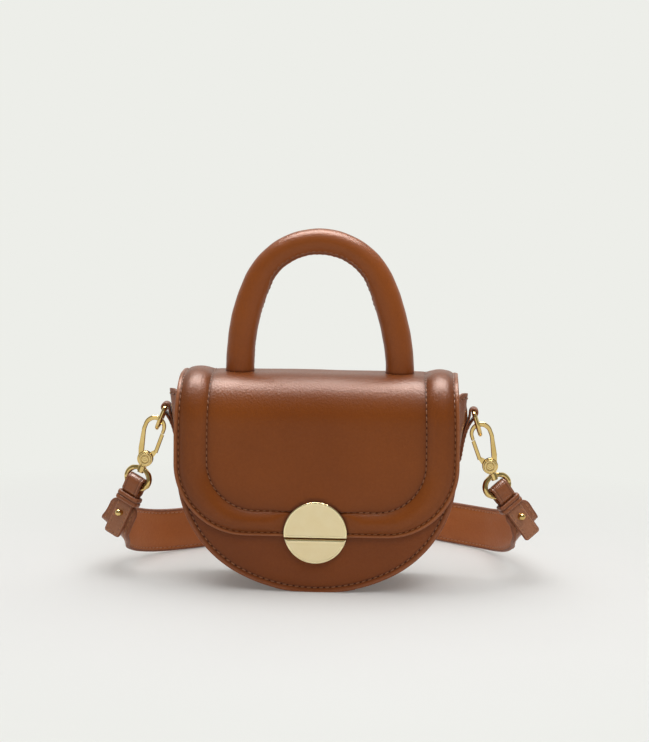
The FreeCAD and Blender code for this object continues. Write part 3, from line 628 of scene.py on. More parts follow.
# ---------------------------------------------------------------- strap ends
def build_tail(side):
    """Narrow strap end: squared tip, folded through the ring, its back layer running under the strap."""
    key = "right" if side > 0 else "left"
    thick, tip = 2.2, 45.0
    out_n = 1.3
    r = 2.7 + thick / 2
    fold = 2.9

    def rise(h):
        return 0.25 * ((h - 30.0) / 15.0) ** 2 if h > 30 else 0.0

    def spread(h):
        return out_n + (3.55 - out_n) * (1 - float(smooth01(9.4, 12.8, h))) + (r - 3.55) * (1 - float(smooth01(fold, 9.0, h)))

    # centreline in the (along, out) plane, from the tip over the ring and back under
    pts = [(h, out_n + rise(h)) for h in np.linspace(tip, 13.0, 66)]
    pts += [(h, spread(h)) for h in np.linspace(12.8, fold, 30)]
    for a in np.linspace(90, 270, 26)[1:]:
        pts.append((fold + r * math.cos(math.radians(a)), r * math.sin(math.radians(a))))
    pts += [(h, -spread(h) - 0.45 * float(smooth01(9.0, 12.8, h))) for h in np.linspace(fold + 0.3, 12.8, 30)]
    pts += [(h, -1.75) for h in np.linspace(13.2, 21.0, 12)]
    pts = np.array(pts)
    L = arc_len(pts)
    s = np.concatenate([[0.0, 0.18, 0.55, 0.95, 1.3, 1.6, 1.85, 2.1, 2.35, 2.6, 3.1, 3.6, 4.4], np.linspace(5.2, L[-1], 170)])
    q = at_len(pts, L, s)
    t = np.gradient(q, s, axis=0)
    t /= np.linalg.norm(t, axis=1)[:, None]
    nrm = np.stack([t[:, 1], -t[:, 0]], 1)
    corner = 2.4
    half = 6.75 - corner + corner * np.sqrt(np.clip(1 - (1 - np.clip(s / corner, 0, 1)) ** 2, 0, 1))
    hh = thick / 2
    ins_at = [0.0, 0.18, 0.55, 0.95, 1.6, 2.1, 2.6, 3.6, 6.75]
    rel_at = [0.2, 0.62, 0.90, 1.0, 0.94, 0.80, 0.95, 1.04, 1.07]
    sec = []
    face = [0.95, 1.6, 2.1, 2.6, 3.6]
    edge = [0.55, 0.18, 0.0]
    for i in face:
        sec.append((-1, i, 1, 0))
    sec.append((0, 6.75, 1, 0))
    for i in reversed(face):
        sec.append((1, i, 1, 0))
    for i in edge:
        sec.append((1, i, 1, 2))
    for i in reversed(edge):
        sec.append((1, i, -1, 2))
    for i in face:
        sec.append((1, i, -1, 1))
    sec.append((0, 6.75, -1, 1))
    for i in reversed(face):
        sec.append((-1, i, -1, 1))
    for i in edge:
        sec.append((-1, i, -1, 2))
    for i in reversed(edge):
        sec.append((-1, i, 1, 2))
    cols = len(sec)
    verts = np.zeros((len(s), cols, 3))
    shade = np.zeros((len(s), cols))
    wear_and_sheen = np.zeros((len(s), cols))
    for i in range(len(s)):
        for j, (sd, ins, up, m) in enumerate(sec):
            w = sd * max(half[i] - ins, half[i] * 0.12)
            near = min(ins, s[i])
            along = q[i] + nrm[i] * up * hh * np.interp(near, ins_at, rel_at)
            verts[i, j] = tail_point(side, along[0], w, along[1])
            if m == 0:
                shade[i, j] = 0.6 * math.exp(-(((near - 2.1) / 0.4) ** 2))
                # first term: scuffed edge; second term: painted sheen on the outer layer of the tail below the keeper
                wear_and_sheen[i, j] = 0.30 * math.exp(-(((near - 0.95) / 0.3) ** 2)) + (0.26 * float(smooth01(18.0, 23.0, q[i, 0])) if q[i, 1] > 0 else 0.0)
    faces = grid_faces(len(s), cols, wrap=True)
    fm = []
    for i in range(len(s) - 1):
        for j in range(cols):
            a, b = sec[j][3], sec[(j + 1) % cols][3]
            fm.append(2 if 2 in (a, b) or s[i] < 0.5 else a)
    faces.append(tuple(range(cols)))
    faces.append(tuple(reversed(range((len(s) - 1) * cols, len(s) * cols))))
    fm += [2, 2]
    flat = verts.reshape(-1, 3)
    if side > 0:
        faces = flip(faces)
    ob = make_piece("strap_tail_" + key, flat, faces, [STRAP_END, STRAP_IN, EDGE_STRAP], "bag_body", fm, {"shade": shade.ravel(), "wear_and_sheen": wear_and_sheen.ravel()})
    # border stitches on the outer face, up one side, round the tip and down the other
    line = [(h, -4.65) for h in np.linspace(20.4, 41.9, 44)]
    line += [(41.9 + math.sin(math.radians(a)), -3.65 - math.cos(math.radians(a))) for a in np.linspace(10, 90, 8)]
    line += [(42.9, w) for w in np.linspace(-3.2, 3.2, 16)]
    line += [(41.9 + math.sin(math.radians(a)), 3.65 + math.cos(math.radians(a))) for a in np.linspace(90, 10, 8)]
    line += [(h, 4.65) for h in np.linspace(41.9, 20.4, 44)]
    P = np.array([tail_point(side, h, w, out_n + hh * 0.86 + rise(h)) for h, w in line])
    N = np.tile(N_R if side > 0 else N_R * FLIPX, (len(P), 1))
    st = stitch_line("strap_tail_stitches_" + key, P, N, "bag_body", yarn=THREAD_LIGHT, pitch=3.2, length=2.2, rad=0.25, holes=False)
    return ob, st


def build_keeper(side):
    """The narrow two-ply loop that holds the strap end down."""
    key = "right" if side > 0 else "left"
    h0, half_len, wall = 16.0, 3.3, 2.0
    # rounded oblong in (across, out), just outside both strap layers
    wx, n_hi, n_lo, rr = 6.75 + 0.3 + wall / 2, 2.4 + 0.2 + wall / 2, -3.0 - 0.15 - wall / 2, 2.2
    loop = []
    for cx, cn, a0 in ((wx - rr, n_hi - rr, 0), (-wx + rr, n_hi - rr, 90), (-wx + rr, n_lo + rr, 180), (wx - rr, n_lo + rr, 270)):
        for a in np.linspace(a0, a0 + 90, 9):
            loop.append((cx + rr * math.cos(math.radians(a)), cn + rr * math.sin(math.radians(a)), math.cos(math.radians(a)), math.sin(math.radians(a))))
    full = []
    for i in range(len(loop)):
        a, b = loop[i], loop[(i + 1) % len(loop)]
        d = math.hypot(b[0] - a[0], b[1] - a[1])
        k = max(1, int(d / 0.8))
        for m in range(k):
            f = m / k
            nx, nn = a[2] * (1 - f) + b[2] * f, a[3] * (1 - f) + b[3] * f
            ln = math.hypot(nx, nn)
            full.append((a[0] * (1 - f) + b[0] * f, a[1] * (1 - f) + b[1] * f, nx / ln, nn / ln))
    w2 = wall / 2
    sec = [(-half_len, -w2 * 0.5, 2), (-half_len, w2 * 0.5, 2), (-2.95, w2 * 0.92, 0), (-2.3, w2 * 1.12, 0), (-1.1, w2 * 1.18, 0), (-0.4, w2 * 0.95, 0), (0.0, w2 * 0.35, 0), (0.4, w2 * 0.95, 0), (1.1, w2 * 1.18, 0), (2.3, w2 * 1.12, 0), (2.95, w2 * 0.92, 0), (half_len, w2 * 0.5, 2), (half_len, -w2 * 0.5, 2), (2.9, -w2, 1), (0.0, -w2, 1), (-2.9, -w2, 1)]
    cols = len(sec)
    verts, shade, wear_and_sheen = [], [], []
    for w, n, ow, on in full:
        for hh, o, m in sec:
            verts.append(tail_point(side, h0 + hh, w + ow * o, n + on * o))
            shade.append(0.9 if hh == 0.0 and m == 0 else 0.25 if abs(hh) == 0.4 else 0.0)
            wear_and_sheen.append(0.3 if abs(hh) in (2.95,) else 0.0)
    rows = len(full)
    faces, fm = [], []
    for i in range(rows):
        k = (i + 1) % rows
        for j in range(cols):
            l = (j + 1) % cols
            faces.append((i * cols + j, i * cols + l, k * cols + l, k * cols + j))
            a, b = sec[j][2], sec[l][2]
            fm.append(2 if 2 in (a, b) else a)
    if side < 0:
        faces = flip(faces)
    ob = make_piece("strap_keeper_" + key, verts, faces, [STRAP_END, STRAP_IN, EDGE_STRAP], "bag_body", fm, {"shade": shade, "wear_and_sheen": wear_and_sheen})
    return ob


strap = build_strap()
tails = []
for sgn in (1, -1):
    tails += list(build_tail(sgn))
    tails.append(build_keeper(sgn))


def strap_stitches():
    out = []
    for tag, sign, face in (("grain_upper", 1, 1), ("grain_lower", -1, 1), ("lining_upper", 1, -1), ("lining_lower", -1, -1)):
        s = np.linspace(3.4, TOTAL - 3.4, 1500)
        half = strap_half_width(s)
        P = strap_surface(s, sign * (half - 3.0), np.full(len(s), face * (STRAP_T / 2 * 0.86)))
        N = at_len(S_N, S_S, s) * face
        P = P + 0.12 * lumps(P, 34.0, 5)[:, None] * at_len(S_N, S_S, s)
        out.append(stitch_line("strap_stitches_" + tag, P, N, "bag_body", yarn=THREAD_LIGHT, pitch=3.9, length=2.8, rad=0.28, holes=False))
    return out


strap_rows = strap_stitches()
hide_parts("strap_floor", "strap_rise_right", "strap_rise_left")
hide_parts("strap_end_right")
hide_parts("keeper_right")
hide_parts("strap_end_left")
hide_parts("keeper_left")

# ---------------------------------------------------------------- flap shape
FLAP_Y = -36.6
FLAP_TOP = 146.0


def flap_profile():
    """The flap's inner face from its low front edge over the top to the back, at even steps."""
    p = [(FLAP_Y, z) for z in np.arange(20.0, FLAP_TOP - 26.0, 0.5)]
    for a in np.arange(0, 90, 0.5 / 26 * 57.2958):
        p.append((-10.6 - 26 * math.cos(math.radians(a)), FLAP_TOP - 26 + 26 * math.sin(math.radians(a))))
    p += [(y, FLAP_TOP) for y in np.arange(-10.6, 11.2, 0.5)]
    for a in np.arange(0, 90, 0.5 / 20 * 57.2958):
        p.append((11.2 + 20 * math.sin(math.radians(a)), FLAP_TOP - 20 + 20 * math.cos(math.radians(a))))
    p += [(31.2, z) for z in np.arange(FLAP_TOP - 20.0, 80.0, -0.5)]
    p = np.array(p)
    L = arc_len(p)
    even = np.arange(0, L[-1], 0.5)
    p = at_len(p, L, even)
    ker = np.exp(-0.5 * (np.arange(-24, 25) / 8.0) ** 2)
    ker /= ker.sum()
    q = p.copy()
    for i in range(2):
        ext = np.concatenate([2 * p[0, i] - p[24:0:-1, i], p[:, i], 2 * p[-1, i] - p[-2:-26:-1, i]])
        q[:, i] = np.convolve(ext, ker, mode="valid")
    t = np.gradient(q, axis=0)
    t /= np.linalg.norm(t, axis=1)[:, None]
    n = np.stack([-t[:, 1], t[:, 0]], 1)
    # starts 20 mm below the flap's edge, so shift to s = 0 at the edge
    return even - 20.0, q, n


P_S, P_Q, P_N = flap_profile()


def flap_place(x, s, t):
    x, s, t = np.broadcast_arrays(np.asarray(x, float), np.asarray(s, float), np.asarray(t, float))
    y = np.interp(s, P_S, P_Q[:, 0])
    z = np.interp(s, P_S, P_Q[:, 1])
    ny = np.interp(s, P_S, P_N[:, 0])
    nz = np.interp(s, P_S, P_N[:, 1])
    return np.stack([x, y + ny * t, z + nz * t], -1)


def flap_normal(s):
    ny = np.interp(s, P_S, P_N[:, 0])
    nz = np.interp(s, P_S, P_N[:, 1])
    return np.stack([np.zeros_like(ny), ny, nz], -1)


def flap_taper(s):
    """Sides draw in a little towards the top."""
    return 1.0 - 0.019 * smooth01(66.0, 122.0, s)


S_END = 166.0
N_SIDE, N_CORNER, N_LOW = 120, 44, 84


def u_curve(w, b, r):
    """Left side down, round the corner, along the bottom and up the right side, as (x, s)."""
    xs, ss = [], []
    side = np.linspace(S_END, b + r, N_SIDE, endpoint=False)
    xs += [-w] * N_SIDE
    ss += list(side)
    a = np.radians(np.linspace(180, 270, N_CORNER, endpoint=False))
    xs += list(-w + r + r * np.cos(a))
    ss += list(b + r + r * np.sin(a))
    xs += list(np.linspace(-w + r, w - r, N_LOW, endpoint=False))
    ss += [b] * N_LOW
    a = np.radians(np.linspace(270, 360, N_CORNER, endpoint=False))
    xs += list(w - r + r * np.cos(a))
    ss += list(b + r + r * np.sin(a))
    xs += [w] * (N_SIDE + 1)
    ss += list(np.linspace(b + r, S_END, N_SIDE + 1))
    return np.array(xs), np.array(ss)


OUTER = (98.9, 0.0, 50.0)
INNER = (76.0, 17.6, 34.0)
SPINE = (0.0, 72.0, 0.0)
BAND = 22.9


def flap_curve(d):
    """The outline d mm in from the flap's edge, shading over into the middle."""
    if d <= BAND:
        k = d / BAND
        w, b, r = (OUTER[i] * (1 - k) + INNER[i] * k for i in range(3))
    else:
        k = (d - BAND) / 76.0
        w, b, r = (INNER[i] * (1 - k) + SPINE[i] * k for i in range(3))
    x, s = u_curve(w, b, r)
    return x * flap_taper(s), s


LOCK_Z = 43.0


def flap_height(d, x, s):
    """Height of the outside over the inner face: edge, stitch groove, padded border, groove, panel."""
    pts = [(0, 3.2), (1.1, 4.02), (2.0, 4.05), (2.7, 3.80), (3.3, 3.35), (3.9, 3.75), (4.8, 4.65), (6.2, 5.70), (8.0, 6.50), (10.5, 7.10), (13.0, 7.25), (15.5, 6.95), (18.0, 6.15), (20.0, 5.15), (21.4, 4.20), (22.3, 3.45), (22.9, 3.05), (23.5, 3.25), (24.6, 3.60), (27.0, 3.90), (32.0, 4.15), (45.0, 4.35), (99.0, 4.4)]
    t = np.interp(d, [p[0] for p in pts], [p[1] for p in pts]) + np.zeros_like(x)
    # calm under the lock and towards the back seam
    r = np.hypot(x, s + 40.0 - LOCK_Z)
    calm = 1.0 - smooth01(21.0, 36.0, r)
    t = np.where(t > 4.7, t + (4.7 - t) * calm, t)
    t = np.where((t < 4.6) & (d > BAND), t + (4.6 - t) * calm, t)
    back = smooth01(128.0, 158.0, s)
    t = np.where(d > 2.0, t + (4.8 - t) * back * (1.0 if d > 4.5 else 0.35), t)
    return t


def build_flap():
    under = [(3.2, 1.25), (1.6, 1.2), (0.9, 1.25), (0.45, 1.45), (0.12, 1.8), (0.0, 2.2), (0.0, 2.9), (0.12, 3.45), (0.45, 3.82)]
    ds = [1.0, 1.6, 2.1, 2.5, 2.8, 3.05, 3.3, 3.55, 3.8, 4.2, 4.8, 5.5, 6.4, 7.4, 8.6, 9.8, 11.0, 12.2, 13.4, 14.6, 15.8, 17.0, 18.2, 19.4, 20.4, 21.2, 21.8, 22.2, 22.5, 22.7, 22.9, 23.1, 23.3, 23.6, 24.0, 24.6, 25.4, 26.6, 28.2, 30.5, 33.5, 37.5, 42.5, 48.5, 55.5, 63.0, 71.0, 79.0, 87.0, 94.0, 98.9]
    rows, shade, wear_and_sheen, mats = [], [], [], []
    for d, t in under:
        x, s = flap_curve(d)
        rows.append(flap_place(x, s, np.full_like(x, t)))
        shade.append(np.zeros_like(x))
        wear_and_sheen.append(np.full_like(x, 0.35 if t > 3.4 else 0.0))
    for d in ds:
        x, s = flap_curve(d)
        t = flap_height(d, x, s)
        p = flap_place(x, s, t)
        soft = 0.22 * lumps(p, 38.0, 11) + 0.10 * lumps(p, 15.0, 12)
        keep = smooth01(22.0, 34.0, np.hypot(x, s - 3.0)) * (1 - smooth01(140.0, 160.0, s)) * (1.0 if d > 4.8 else 0.25)
        rows.append(flap_place(x, s, t + soft * keep))
        g = math.exp(-(((d - 3.3) / 0.55) ** 2)) * 0.55 + math.exp(-(((d - 22.9) / 0.5) ** 2)) * 0.6 + math.exp(-(((d - 22.4) / 2.0) ** 2)) * 0.16 + math.exp(-(((d - 3.6) / 1.4) ** 2)) * 0.18 + (0.30 * math.exp(-((d - 23.0) / 5.0)) if d > 23.0 else 0.0) + math.exp(-(((d - 6.5) / 2.6) ** 2)) * 0.16 + math.exp(-(((d - 12.0) / 7.0) ** 2)) * 0.06
        ring = np.hypot(x, s - 3.0)
        left = 0.14 * smooth01(62.0, 92.0, -x) * (1.0 if d < 22.5 else 0.0)
        roll = 0.15 * smooth01(126.0, 141.0, p[:, 2]) * (1.0 if d > 4.8 else 0.0)
        shade.append(np.full_like(x, min(g, 1.0)) + left + roll + np.exp(-(((ring - 22.2) / 1.0) ** 2)) * 0.8)
        wear_and_sheen.append(np.full_like(x, 0.5 * math.exp(-(((d - 1.2) / 0.8) ** 2))))
    rows = np.array(rows)
    nr, nc = rows.shape[:2]
    faces = grid_faces(nr, nc)
    fm = []
    for i in range(nr - 1):
        fm += [1 if 2 <= i <= 7 else 0] * (nc - 1)
    ob = make_piece("flap_skin", rows.reshape(-1, 3), flip(faces), [BODY, EDGE], "flap", fm, {"shade": np.array(shade).ravel(), "wear_and_sheen": np.array(wear_and_sheen).ravel()})
    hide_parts("flap_cover", "flap_padding")
    # lining on the inside
    rows, shade = [], []
    for d, t in ((2.9, 1.32), (2.7, 1.0), (3.0, 0.8), (5.0, 0.55), (10.0, 0.3), (20.0, 0.15), (30.0, 0.1), (45.0, 0.1), (60.0, 0.1), (75.0, 0.1), (90.0, 0.1), (98.9, 0.1)):
        x, s = flap_curve(d)
        p = flap_place(x, s, np.full_like(x, t))
        rows.append(flap_place(x, s, t + 0.05 * lumps(p, 20.0, 21) * (1 if d > 5 else 0)))
        shade.append(np.full_like(x, 0.5 if d < 3.5 else 0.0))
    rows = np.array(rows)
    nr, nc = rows.shape[:2]
    lo = make_piece("flap_lining_skin", rows.reshape(-1, 3), grid_faces(nr, nc), [LINING], "flap", None, {"shade": np.array(shade).ravel(), "wear_and_sheen": np.zeros(nr * nc)})
    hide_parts("flap_lining")
    # stitch rows
    for tag, d in (("outer", 3.3), ("inner", 22.9)):
        x, s = flap_curve(d)
        t = flap_height(d, x, s)
        ok = (np.hypot(x, s - 3.0) > 21.4) & (s < 162.0)
        P = flap_place(x, s, t + 0.02)
        N = flap_normal(s)
        mid = len(x) // 2
        left = np.arange(len(x))[ok & (x < 0)]
        right = np.arange(len(x))[ok & (x > 0)]
        for nm, idx in (("left", left), ("right", right)):
            st = stitch_line("flap_stitches_%s_%s" % (tag, nm), P[idx], N[idx], "flap", pitch=4.4, length=3.1, rad=0.31, lift=0.15)
    return ob


flap = build_flap()


# ---------------------------------------------------------------- hinge strip at the back
def build_hinge():
    """The leather that bends where the flap meets the back."""
    s = np.linspace(158.0, 191.5, 90)
    xs = np.linspace(-1, 1, 60)
    rows_o, rows_i = [], []
    for k in range(len(s)):
        low = smooth01(173.0, 180.0, s[k])
        t = 4.84 + 0.85 * low
        ti = 3.9 + 1.0 * low if s[k] > 170 else 3.9
        w = 94.35
        edge = np.sqrt(np.clip(1 - np.clip((np.abs(xs) - 0.985) / 0.015, 0, 1) ** 2, 0, 1))
        tail = math.sqrt(max(0.0, 1 - max(0.0, (s[k] - 190.6) / 0.9) ** 2))
        rows_o.append(flap_place(xs * w, np.full_like(xs, s[k]), ti + (t - ti) * edge * tail))
        rows_i.append(flap_place(xs * w, np.full_like(xs, s[k]), np.full_like(xs, ti)))
    o, i = np.array(rows_o), np.array(rows_i)
    nr, nc = o.shape[:2]
    verts = np.concatenate([o.reshape(-1, 3), i.reshape(-1, 3)])
    faces = grid_faces(nr, nc) + flip(grid_faces(nr, nc, base=nr * nc))
    shade = np.zeros(len(verts))
    ss = np.repeat(s, nc)
    shade[: nr * nc] = np.exp(-(((ss - 188.2) / 0.6) ** 2)) * 0.7 + np.exp(-(((ss - 174.5) / 3.0) ** 2)) * 0.12
    wear_and_sheen = np.zeros(len(verts))
    wear_and_sheen[: nr * nc] = np.exp(-(((ss - 190.6) / 0.7) ** 2)) * 0.5
    ob = make_piece("hinge_strip", verts, flip(faces), [BODY], None, None, {"shade": shade, "wear_and_sheen": wear_and_sheen})
    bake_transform(ob)
    x = np.linspace(-92.0, 92.0, 200)
    P = flap_place(x, np.full_like(x, 188.2), np.full_like(x, 5.62))
    st = stitch_line("hinge_stitches", P, np.tile([0.0, 1.0, 0.0], (len(x), 1)), "bag_body", pitch=4.4, length=3.1, rad=0.34)
    return ob


hinge = build_hinge()

# ---------------------------------------------------------------- body panels
HALF_W, TOP_HALF_W = 97.1, 98.6
CORNER_R, CORNER_ZC, SETTLE = 81.2, 84.0, 0.9
CORNER_XC = HALF_W - CORNER_R
BOTTOM_R = (CORNER_XC**2 + (SETTLE + CORNER_ZC) ** 2 - CORNER_R**2) / (2 * (SETTLE + CORNER_ZC - CORNER_R))
BOTTOM_ZC = BOTTOM_R - SETTLE
JOIN = math.atan2(BOTTOM_ZC - CORNER_ZC, CORNER_XC)


def sack(inset, n_corner=110, n_bottom=70):
    """Right half of the sack outline from the side's foot to the lowest point."""
    a = np.linspace(0.0, JOIN, n_corner, endpoint=False)
    x = list(CORNER_XC + (CORNER_R - inset) * np.cos(a))
    z = list(CORNER_ZC - (CORNER_R - inset) * np.sin(a))
    a = np.linspace(JOIN, math.pi / 2, n_bottom)
    x += list((BOTTOM_R - inset) * np.cos(a))
    z += list(BOTTOM_ZC - (BOTTOM_R - inset) * np.sin(a))
    return np.array(x), np.array(z)


def settle(z, inset=0.0):
    """The bottom settles flat on the floor."""
    k = 2.2
    low = inset + 0.02
    return np.where(z < low + 2.5, low + np.log1p(np.exp(np.clip((z - low - 0.2) * k, -30, 30))) / k, z)


def outline(f, inset, z_top, n_side=60, n_corner=110, n_bottom=70):
    """Panel outline inset mm in and drawn in to f of its size; left side, round the bottom, right side."""
    xh, zh = sack(inset, n_corner, n_bottom)
    zs = np.linspace(z_top, CORNER_ZC, n_side, endpoint=False)
    xs = HALF_W - inset + (TOP_HALF_W - HALF_W) * smooth01(80.0, 126.0, zs)
    x = np.concatenate([-xs, -xh, xh[::-1][1:], xs[::-1]])
    z = np.concatenate([zs, zh, zh[::-1][1:], zs[::-1]])
    z = settle(z)
    x = x * f
    z = np.where(z < CORNER_ZC, CORNER_ZC + (z - CORNER_ZC) * f, z)
    return x, z


def build_panel(key, sign, z_top):
    """Front (sign -1) or back (sign +1) panel with rounded painted rim, stitch groove and soft fullness."""
    y0 = 36.0
    rings = [(1.4, 1.0, -2.0, 1), (0.45, 1.0, -1.9, 1), (0.08, 1.0, -1.5, 1), (0.0, 1.0, -1.0, 1), (0.08, 1.0, -0.5, 1), (0.45, 1.0, -0.12, 1), (1.0, 1.0, 0.02, 0), (1.8, 1.0, 0.06, 0), (2.8, 1.0, 0.02, 0), (3.4, 1.0, -0.12, 0), (3.8, 1.0, -0.34, 0), (4.15, 1.0, -0.48, 0), (4.5, 1.0, -0.34, 0), (5.0, 1.0, -0.05, 0), (6.0, 1.0, 0.22, 0), (8.0, 1.0, 0.5, 0), (12.0, 1.0, 0.75, 0)]
    for f in (0.94, 0.88, 0.8, 0.7, 0.58, 0.45, 0.3, 0.15, 0.0):
        rings.append((12.0, f, 0.85, 0))
    rows, shade, wear_and_sheen, kinds = [], [], [], []
    for ins, f, o, kind in rings:
        x, z = outline(f, ins, z_top)
        full = o
        if o > 0.1:
            if sign < 0:
                # calm under the flap and round the lower lock plate
                under = smooth01(38.0, 46.0, z)
                r = np.hypot(x, z - LOCK_Z)
                calm = 1 - smooth01(21.0, 30.0, r)
                full = o * (1 - 0.55 * under) * (1 - calm)
                full = full + 0.08 * lumps(np.stack([x, 0 * x, z], 1), 30.0, 31) * (1 - calm)
            else:
                full = o * (1 - smooth01(100.0, 112.0, z)) + 0.12 * lumps(np.stack([x, 0 * x, z], 1), 32.0, 33) * (1 - smooth01(100.0, 110.0, z))
        y = sign * (y0 + full + 0 * x)
        rows.append(np.stack([x, y, z], 1))
        g = 0.75 * math.exp(-(((ins - 4.15) / 0.5) ** 2)) + 0.2 * math.exp(-(((ins - 4.3) / 1.6) ** 2)) if f == 1.0 else 0.0
        sh = np.full(len(x), g)
        shade.append(sh)
        wear_and_sheen.append(np.full(len(x), 0.55 * math.exp(-(((ins - 1.1) / 0.9) ** 2)) if f == 1.0 and kind == 0 else 0.0))
        kinds.append(kind)
    rows = np.array(rows)
    nr, nc = rows.shape[:2]
    faces = grid_faces(nr, nc)
    fm = []
    for i in range(nr - 1):
        fm += [1 if kinds[i] and kinds[i + 1] else 0] * (nc - 1)
    ob = make_piece(key + "_skin", rows.reshape(-1, 3), faces if sign > 0 else flip(faces), [SACK_SHADED, EDGE], "bag_body", fm, {"shade": np.array(shade).ravel(), "wear_and_sheen": np.array(wear_and_sheen).ravel()})
    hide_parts(key + "_panel")
    x, z = outline(1.0, 4.15, z_top - 2.0, 80, 200, 140)
    P = np.stack([x, np.full_like(x, sign * (y0 - 0.42)), z], 1)
    keep = z < (112.0 if sign < 0 else 107.5)
    st = stitch_line(key + "_stitches", P[keep], np.tile([0.0, float(sign), 0.0], (int(keep.sum()), 1)), "bag_body", pitch=4.3, length=3.05, rad=0.36, lift=0.14)
    return ob


build_panel("front", -1, 117.5)
build_panel("back", 1, 123.5)


GUSSET_X, GUSSET_Z = 104.0, 138.4
RIM_V = np.linspace(-1.04, 1.04, 209)
RIM_Z = np.interp(RIM_V, [-1.04, -0.94, -0.85, -0.78, -0.68, -0.55, -0.3, 0.0, 0.3, 0.6, 0.85, 0.94, 1.04], [127.0, 133.6, 137.6, 139.4, 140.3, 139.2, 137.6, 135.9, 134.5, 132.8, 129.4, 126.0, 122.8])
RIM_Z = np.convolve(np.pad(RIM_Z, 4, mode="edge"), np.ones(9) / 9.0, mode="valid")


def gusset_top(v):
    """Height of the gusset's upper hem across its depth."""
    return np.interp(v, RIM_V, RIM_Z)


def gusset_flare(v):
    """How far the gusset's top stands out across its depth, squarer at the front."""
    return float(smooth01(-0.90, -0.56, v)) if v < 0 else 1 - v**3


def gusset_rows(inset, y_list, drop=0.0):
    """The band between the panels, fuller between them: left top, round the bottom, right top."""
    rows = []
    for y in y_list:
        v = y / 34.0
        e = 1 - v * v
        i = inset + 0.9 - 0.55 * e
        xh, zh = sack(i)
        zt = float(gusset_top(v)) - drop
        zs = np.linspace(zt, CORNER_ZC, 48, endpoint=False)
        xt = 97.9 + (GUSSET_X - 97.9) * gusset_flare(v) - inset
        foot = HALF_W - i
        xs = foot + (xt - foot) * np.clip((zs - CORNER_ZC) / (GUSSET_Z - CORNER_ZC), 0, 1) ** 0.9
        # the skin stands out a little behind the tab sewn to it
        out = np.interp(zs, [86.0, 90.5, 94.0, 99.0, 104.0, 108.0, 112.6, 116.5, 119.6, 124.0, 130.0], [0.0, 97.5, 97.95, 98.8, 99.8, 100.8, 102.2, 103.5, 104.5, 104.3, 103.4]) - inset
        xs = xs + np.maximum(0.0, out - xs) * math.exp(-((y / 12.0) ** 2))
        x = np.concatenate([-xs, -xh, xh[::-1][1:], xs[::-1]])
        z = np.concatenate([zs, zh, zh[::-1][1:], zs[::-1]])
        z = settle(z, inset)
        rows.append(np.stack([x, np.full_like(x, y), z], 1))
    return np.array(rows)


def build_gusset():
    ys = np.concatenate([[-34.4, -34.0, -33.4, -32.6], np.linspace(-31.5, 31.5, 26), [32.6, 33.4, 34.0, 34.4]])
    rows = gusset_rows(0.0, ys)
    flatten = rows.reshape(-1, 3)
    soft = 0.28 * lumps(flatten, 30.0, 41) * (1 - (flatten[:, 1] / 34.4) ** 2)
    radial = np.stack([flatten[:, 0], 0 * flatten[:, 0], np.minimum(flatten[:, 2] - CORNER_ZC, 0)], 1)
    ln = np.linalg.norm(radial, axis=1)[:, None]
    moved = flatten + radial / np.maximum(ln, 1e-6) * soft[:, None]
    moved[:, 2] = np.maximum(moved[:, 2], 0.02)
    v = np.abs(flatten[:, 1]) / 34.0
    shade = 0.55 * smooth01(0.93, 1.0, v)
    top = np.maximum(0.0, gusset_top(flatten[:, 1] / 34.0) - flatten[:, 2])
    shade = shade + 0.6 * np.exp(-(((top - 3.4) / 0.6) ** 2))
    wear_and_sheen = 0.5 * np.exp(-((top / 0.9) ** 2))
    nr, nc = rows.shape[:2]
    # inner return at the top so the hem has a thickness
    inner = gusset_rows(2.0, ys).reshape(-1, 3)
    verts = np.concatenate([moved, inner])
    faces = flip(grid_faces(nr, nc))
    n = nr * nc
    faces += grid_faces(nr, nc, base=n)
    fm = [0] * (2 * (nr - 1) * (nc - 1))
    for i in range(nr - 1):
        for col, sg in ((0, 1), (nc - 1, -1)):
            q = (i * nc + col, (i + 1) * nc + col, n + (i + 1) * nc + col, n + i * nc + col)
            faces.append(q if sg > 0 else tuple(reversed(q)))
            fm.append(1)
    ob = make_piece("gusset_skin", verts, faces, [SACK_SHADED, EDGE], "bag_body", fm, {"shade": np.concatenate([shade, np.zeros(n)]), "wear_and_sheen": np.concatenate([wear_and_sheen, np.zeros(n)])})
    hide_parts("gusset")
    for sgn, key in ((1, "right"), (-1, "left")):
        P = []
        for yy in np.linspace(-29.0, 29.0, 80):
            v = yy / 34.0
            zt = float(gusset_top(v)) - 3.4
            e = 1 - v * v
            foot = HALF_W - 0.9 + 0.55 * e
            xt = 97.9 + (GUSSET_X - 97.9) * gusset_flare(v)
            x = foot + (xt - foot) * ((zt - CORNER_ZC) / (GUSSET_Z - CORNER_ZC)) ** 0.9
            P.append((sgn * (x + 0.05), yy, zt))
        stitch_line("gusset_stitches_" + key, np.array(P), np.tile([float(sgn), 0.0, 0.0], (len(P), 1)), "bag_body", pitch=4.2, length=3.0, rad=0.33, lift=0.16)
    return ob


build_gusset()


